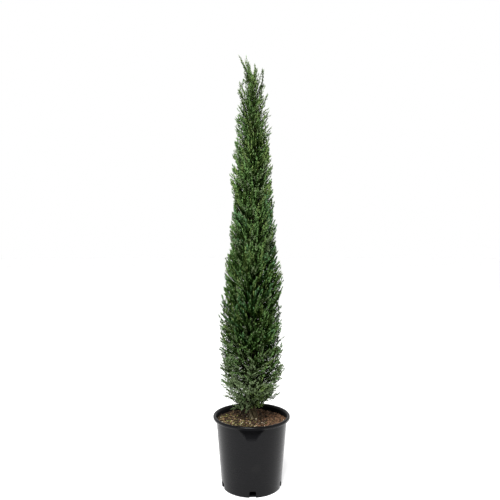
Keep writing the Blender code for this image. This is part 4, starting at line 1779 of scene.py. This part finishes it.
    def heart(self) -> tuple[Arcs, Array]:
        """Curves of the shoots between the upper masses, which leave the trunk and rise.

        Returns:
            The curves, and a level vector to the side of each.
        """
        random = self.random
        height = random.uniform(HEART[0][0], HEART[-1][0], self.heart_shoots)
        turn = random.uniform(0.0, FULL_TURN, self.heart_shoots)
        share = np.sqrt(random.uniform(0.1, 1.0, self.heart_shoots))
        reach = (np.interp(height, *np.transpose(HEART)) * share)[:, None]
        outward, _ = compass(turn)
        ends = np.column_stack((self.trunk.middle(height), height)) + outward * reach
        low = height - self.heart_length
        start = np.column_stack((self.trunk.middle(low), low)) + outward * reach * 0.2
        return self.bowed(start, ends, turn)

    def stem(self, mass: Mass) -> Array:
        """Woody stem of a mass, from the trunk or its bough.

        Args:
            mass: the mass.

        Returns:
            Points along the stem, from its foot.
        """
        share = np.linspace(0.0, 1.0, 18)
        if mass.tier == "fringe":
            start = self.boughs.ends[mass.name.removeprefix("fringe_")]
            centre = mass.corners.reshape(-1, 3).mean(0)
            end = start + (centre - start) * (1.0, 1.0, 0.6) * 1.5
            return start + (end - start) * share[:, None]
        height = mass.low + 0.012 + (mass.high - mass.low - 0.020) * share
        if mass.tier == "leader":
            path = np.column_stack((mass.middle(height), height))
            top = self.trunk.heights[-1] - 0.004
            return np.concatenate(([[*self.trunk.middle(top), top]], path))
        height = np.maximum(height, self.bough_low)
        own, trunk = mass.middle(height), self.trunk.middle(height)
        grown = smooth_step(share, -0.05, 0.45)[:, None] * (1.0 if mass.feathery else 0.8)
        return np.column_stack((trunk + (own - trunk) * grown, height))

    def grow_twigs(self, mass: Mass, shoots: Arcs, beside: Array) -> None:
        """Grows a mass's stem, and from it a twig to the foot of each shoot.

        A twig leaves the stem where the way to the shoot's foot is short and runs
        along the shoot's own heading.

        Args:
            mass: the mass.
            shoots: curves of its shoots.
            beside: a level vector to the side of each.
        """
        stem = self.stem(mass)
        young = int(mass.feathery)
        radii = np.linspace(mass.habit.stem, self.stem_end, len(stem))
        across = np.cross(stem[-1] - stem[0], (0.3, 1.0, 0.1))
        self.twigs.add(*sweep(stem[None], radii[None], across[None], 6), np.full(1, young))
        heading = shoots.heading(np.zeros((len(shoots.start), 1)))
        way = shoots.start[:, None] - stem[None]
        distance = np.linalg.norm(way, axis=-1)
        along = dot(unit(way), heading)[..., 0]
        fork = stem[np.argmin(distance * (1.7 - along) + 0.004 * (along < 0.2), axis=1)]
        span = shoots.start - fork
        distance = np.linalg.norm(span, axis=1)[:, None]
        follow = smooth_step(dot(unit(span), heading[:, 0]), 0.2, 0.8)
        control = shoots.start - (heading[:, 0] * follow * distance + span * (1.0 - follow)) * 0.45
        arcs = Arcs(fork, control, shoots.start)
        share = np.broadcast_to(np.linspace(0.0, 1.0, 5), (len(fork), 5))
        radii = np.linspace(self.twig_feet[young], self.twig_end, 5)
        radii = np.broadcast_to(radii, share.shape)
        self.twigs.add(*sweep(arcs.at(share), radii, beside, 3), np.full(len(fork), young))

    def hues(self, places: Array) -> Array:
        """Deals each shoot the number of its hue, by chances that change with the place.

        Grey is likelier low down and at the tip, olive high up and on the right, and
        blue in patches half way up.

        Args:
            places: ends of the shoots.

        Returns:
            The number of each shoot's hue.
        """
        x, _, height = places.T
        random = np.random.default_rng(self.seed + 4)
        drift = ripples(places, self.hue_pitch, 12, random) * 0.24
        low = 1.0 - smooth_step(height, 0.40, 0.62)
        high = smooth_step(height, 0.9, 1.3)
        right = smooth_step(x, -0.02, 0.05)
        grey = 0.16 + 0.62 * low - drift + 0.3 * smooth_step(height, 1.42, 1.60)
        olive = 0.12 + 0.40 * high * (0.4 + 0.6 * right) + drift
        random = np.random.default_rng(self.seed + 7)
        cool = ripples(places, self.blue_pitch, 12, random)
        band = smooth_step(height, 0.50, 0.75) * (1.0 - smooth_step(height, 1.02, 1.20))
        blue = grey + 0.65 * smooth_step(cool, -0.1, 0.6) * band
        draw = self.random.uniform(size=len(places))
        order = [list(Hue).index(hue) for hue in (Hue.GREY, Hue.OLIVE, Hue.BLUE, Hue.GREEN)]
        return np.select((draw < grey, draw > 1.0 - olive, draw < blue), order[:3], order[3])

    def tone_drift_and_painted_light(self, places: Array) -> Array:
        """How much lighter the tones are dealt at each place: random drift and streaks, painted
        light by height and side, and painted shade in the furrows.

        Args:
            places: ends of the shoots.

        Returns:
            What the light of each shoot's leaves gains or loses.
        """
        random = np.random.default_rng(self.seed + 5)
        drift = ripples(places, self.drift_pitch, 12, random) * 0.08
        random = np.random.default_rng(self.seed + 6)
        drift += ripples(places * (1.0, 1.0, 0.16), self.streak_pitch, 24, random) * 0.17
        # Painted light by height and side.
        right = smooth_step(places[:, 0], -0.05, 0.05)
        dealt = by_side(PAINTED_LIGHT, places[:, 2], right)
        # Painted shade: leaves in the furrows are dealt darker tones.
        return drift + dealt - self.furrow_shade * self.furrow(places)

    def grow_sprays(
        self, mass: Mass, layer: Layer, shoots: Arcs, beside: Array, deep: Array, sprays: Sprays
    ) -> None:
        """Dresses the shoots of a layer of a mass with sprays of scale leaves.

        Each spray leaves the shoot at its own turn round it, with shorter side leaves
        that turn round it in the same way. Sprays shorten towards the tip. Their tones are
        painted light and shade: lighter towards the shoot's tip, darker the deeper their shoot
        lies.

        Args:
            mass: the mass that the shoots belong to.
            layer: their layer, which sets the gap and the width of the leaves.
            shoots: their curves.
            beside: a level vector to the side of each.
            deep: how deep in the mass each lies, from 0 to 1.
            sprays: where the leaves are added.
        """
        random = self.random
        hue = self.hues(shoots.end)
        length = np.linalg.norm(shoots.end - shoots.start, axis=1)
        rings = np.broadcast_to(np.linspace(0.0, 1.0, 4), (len(length), 4))
        radii = np.broadcast_to(np.linspace(*self.shoot_radii, 4), rings.shape)
        # Painted shade: a shoot's own stem wears its hue's shaded tone when the shoot lies deep in
        # its mass, and the half-lit tone near the skin.
        wood = hue * len(PaintedShading) + (deep < self.shaded_stem_depth)
        sprays.add(*sweep(shoots.at(rings), radii, beside, 3), wood)

        habit = mass.habit
        counts = np.maximum(4, np.round(length / (layer.gap * habit.gap))).astype(int)
        owner = np.repeat(np.arange(len(length)), counts)
        rank = np.arange(len(owner)) - np.repeat(np.cumsum(counts) - counts, counts)
        share = 0.12 + 0.88 * (rank + random.uniform(0.0, 1.0, len(owner))) / counts[owner]
        share = np.minimum(share, 0.99)
        arcs = shoots.take(owner)
        foot = arcs.at(share[:, None])[:, 0]
        along = arcs.heading(share[:, None])[:, 0]
        side = unit(beside[owner] - dot(beside[owner], along) * along)
        over = np.cross(along, side)
        turn = rank * GOLDEN_ANGLE + random.uniform(0.0, FULL_TURN, len(length))[owner]
        away = np.cos(turn)[:, None] * side + np.sin(turn)[:, None] * over
        opening = random.normal(*self.opening_deg, len(owner)) - self.opening_drop_deg * share
        opening = np.radians(opening)[:, None]
        heading = unit(np.cos(opening) * along + np.sin(opening) * away)
        vigour = np.sqrt(length[owner] / 0.08).clip(0.6, 1.1)
        spray = habit.spray * (1.0 - 0.50 * share) * vigour
        spray = spray * random.uniform(*self.size_range, len(owner))
        width = layer.width * habit.girth * random.uniform(0.85, 1.15, len(owner))
        # Painted light and shade: sprays nearer the shoot's tip are dealt lighter tones, and those
        # of deeper shoots darker ones.
        light = share - self.deep_shade * deep[owner]
        light = light + random.normal(0.0, self.light_spread, len(owner))
        light = light + self.tone_drift_and_painted_light(shoots.end)[owner]
        sprays.add(*slivers(foot, heading, away, spray, width), self.tones(hue[owner], light))

        flat = unit(np.cross(heading, along + 0.2 * side))
        over = np.cross(heading, flat)
        roll = random.uniform(0.0, FULL_TURN, len(owner))
        for number, place in enumerate(self.places):
            at = place + random.uniform(-0.06, 0.06, len(owner))
            turn = (roll + number * GOLDEN_ANGLE)[:, None]
            away = np.cos(turn) * flat + np.sin(turn) * over
            angle = np.radians(random.normal(*self.side_opening_deg, len(owner)))[:, None]
            way = unit(np.cos(angle) * heading + np.sin(angle) * away + 0.10 * along)
            reach = spray * 0.60 * (1.0 - 0.30 * at) * random.uniform(*self.size_range, len(owner))
            start = foot + heading * (spray * at)[:, None]
            # Painted light: side leaves further along the spray are dealt lighter tones.
            tones = self.tones(hue[owner], light + 0.3 * (place - 0.45))
            sprays.add(*slivers(start, way, away, reach, width * 0.95), tones)
        self.grow_tips(mass, layer, shoots, beside, deep, hue, sprays)

    def grow_tips(
        self,
        mass: Mass,
        layer: Layer,
        shoots: Arcs,
        beside: Array,
        deep: Array,
        hue: Array,
        sprays: Sprays,
    ) -> None:
        """Ends each shoot in a slender spire of leaves that lie close to its heading.

        Args:
            mass: the mass that the shoots belong to.
            layer: their layer.
            shoots: their curves.
            beside: a level vector to the side of each.
            deep: how deep in the mass each lies, from 0 to 1.
            hue: the number of each shoot's hue.
            sprays: where the leaves are added.
        """
        random = self.random
        count = len(hue)
        for number, place in enumerate(self.tip_places):
            share = np.full((count, 1), place)
            along = shoots.heading(share)[:, 0]
            side = unit(beside - dot(beside, along) * along)
            turn = (number * GOLDEN_ANGLE + random.uniform(0.0, 1.0, count))[:, None]
            away = np.cos(turn) * side + np.sin(turn) * np.cross(along, side)
            angle = np.radians(random.normal(*self.tip_opening_deg, count))[:, None]
            way = np.cos(angle) * along + np.sin(angle) * away
            reach = mass.habit.spray * 0.80 * random.uniform(0.7, 1.25, count)
            # Painted light and shade: leaves nearer the shoot's end are dealt lighter tones, and
            # those of deeper shoots darker ones.
            light = place - self.deep_shade * deep + random.normal(0.0, 0.15, count)
            tones = self.tones(hue, light)
            width = np.full(count, layer.width * mass.habit.girth)
            leaves = slivers(shoots.at(share)[:, 0], way, away, reach, width)
            sprays.add(*leaves, tones)

    def tones(self, hue: Array, light: Array) -> Array:
        """Material number of each leaf: its hue, and the tone of painted shade or light that its
        light reaches.
        """
        return hue * len(PaintedShading) + np.digitize(light, self.light_steps)

    def build(self, bark: bpy.types.Material) -> None:
        """Grows every mass, and makes a piece of its sprays and one of all the twigs.

        Args:
            bark: material of the old twigs.
        """
        for mass in self.masses:
            sprays = Sprays()
            tips = self.targets(mass)
            for layer in LAYERS:
                chosen = tips[self.random.uniform(size=len(tips)) < layer.amount]
                inward = self.random.uniform(*layer.inward, (len(chosen), 1))
                deep = inward[:, 0]
                if mass.feathery:
                    share = mass.rise(chosen[:, 2:])
                    inward = inward + 0.4 * smooth_step(share, 0.60, 1.0) * (1.0 - inward)
                chosen[:, :2] += (self.axis(mass, chosen[:, 2]) - chosen[:, :2]) * inward
                shoots, beside = self.shoots(mass, chosen)
                if mass.tier != "fringe" and layer is LAYERS[-1]:
                    spires = [self.grow_spire(mass)]
                    if mass.tier == "leader":
                        spires.append(self.cone())
                    for spire, aside in spires:
                        shoots = shoots.join(spire)
                        beside = np.concatenate((beside, aside))
                        deep = np.concatenate((deep, np.zeros(len(aside))))
                self.grow_twigs(mass, shoots, beside)
                self.grow_sprays(mass, layer, shoots, beside, deep, sprays)
            if mass.tier == "leader":
                deep = np.full(self.heart_shoots, HEART_LAYER.inward[0])
                self.grow_sprays(mass, HEART_LAYER, *self.heart(), deep, sprays)
            piece = sprays.piece(f"sprays_{mass.name}", self.leaves, smooth=False)
            settle(piece, (f"foliage_{mass.name}",))
        woods = [bark, YOUNG_WOOD.material()]
        settle(self.twigs.piece("twigs", woods, smooth=True))


# Studio


@dataclass
class Studio:
    """Pale floor, soft light from all round and a level camera."""

    eye: Triple = (-0.0059, -1.959, 0.915)
    lens_mm: float = 36.0
    sensor_mm: float = 36.0
    view_length: float = 200.0
    floor_radius: float = 60.0
    floor_sides: int = 64
    floor_colour: Colour = (0.95, 0.95, 0.95)
    floor_glow: float = 0.38
    front_light: float = 0.06
    side_light: float = 0.80
    top_light: float = 0.70
    key_place: Triple = (-0.6, -2.4, 3.6)
    key_target: Triple = (0.0, 0.0, 0.7)
    key_size: float = 1.5
    key_watts: float = 250.0

    def floor(self) -> None:
        """Makes a flat disc with a faint mottle."""
        sides = self.floor_sides
        ring, _ = compass(np.linspace(0.0, FULL_TURN, sides, endpoint=False))
        points = np.concatenate((ring * self.floor_radius, ((0.0, 0.0, 0.0),)))
        side = np.arange(sides)
        faces = np.stack((np.full(sides, sides), side, (side + 1) % sides), axis=-1)
        material, graph = new_material(
            "studio_floor",
            Metallic=0.0,
            Specular_IOR_Level=0.2,
            Emission_Color=self.floor_colour,
            Emission_Strength=self.floor_glow,
        )
        cloud = graph.noise(graph.place(), 0.8)
        shade = tuple(channel * 0.97 for channel in self.floor_colour)
        dress(
            material,
            graph,
            Base_Color=graph.mix(cloud, self.floor_colour, shade),
            Roughness=0.75 + 0.1 * cloud,
        )
        disc = make_piece("studio_floor", points, [faces], [material])

    def world(self) -> None:
        """Lights the scene: bright above and at the sides, dimmer behind the camera."""
        world = bpy.data.worlds.new("studio_light")
        bpy.context.scene.world = world
        world.use_nodes = True
        graph = Graph(world.node_tree)
        way = {"Vector": graph.read("ShaderNodeTexCoord", "Generated")}
        ahead, up = (graph.read("ShaderNodeSeparateXYZ", axis, values=way) for axis in "YZ")
        behind = (-1.0 * ahead).above(0.35, 0.95)
        above = up.above(0.35, 0.85)
        level = self.side_light - (self.side_light - self.front_light) * behind
        level = level + (self.top_light - level) * above
        seen = graph.read("ShaderNodeLightPath", "Is Camera Ray")
        backdrop = world.node_tree.nodes["Background"].inputs
        graph.feed(backdrop["Strength"], level * (1.0 - seen) + seen)
        graph.feed(backdrop["Color"], (1.0, 1.0, 1.0))

    def key(self) -> None:
        """Hangs a large soft lamp above the camera, aimed at the crown."""
        lamp = bpy.data.lights.new("key_light", "AREA")
        lamp.size = self.key_size
        lamp.energy = self.key_watts
        light = bpy.data.objects.new("key_light", lamp)
        light.location = self.key_place
        aim = Vector(self.key_target) - light.location
        light.rotation_euler = aim.to_track_quat("-Z", "Y").to_euler()
        bpy.context.scene.collection.objects.link(light)

    def camera(self) -> None:
        """Places the level camera."""
        lens = bpy.data.cameras.new("studio_camera")
        lens.lens = self.lens_mm
        lens.sensor_width = self.sensor_mm
        lens.clip_end = self.view_length
        camera = bpy.data.objects.new("studio_camera", lens)
        camera.location = self.eye
        camera.rotation_euler = (math.pi / 2, 0.0, 0.0)
        bpy.context.scene.collection.objects.link(camera)
        bpy.context.scene.camera = camera

    def build(self) -> None:
        """Makes the floor, the light and the camera."""
        self.floor()
        self.world()
        self.key()
        self.camera()
        bpy.context.scene.view_settings.view_transform = "Standard"


def main() -> None:
    """Builds the potted tree and its studio."""
    logging.basicConfig(level=logging.INFO, format="%(message)s")
    Studio().build()
    pot = NurseryPot()
    pot.build()
    PottingMix(pot).build()
    trunk = Trunk()
    trunk.build()
    bark = TWIG_BARK.material()
    boughs = LowBoughs()
    boughs.build(trunk, bark)
    Crown(trunk, boughs).build(bark)


if __name__ == "__main__":
    main()
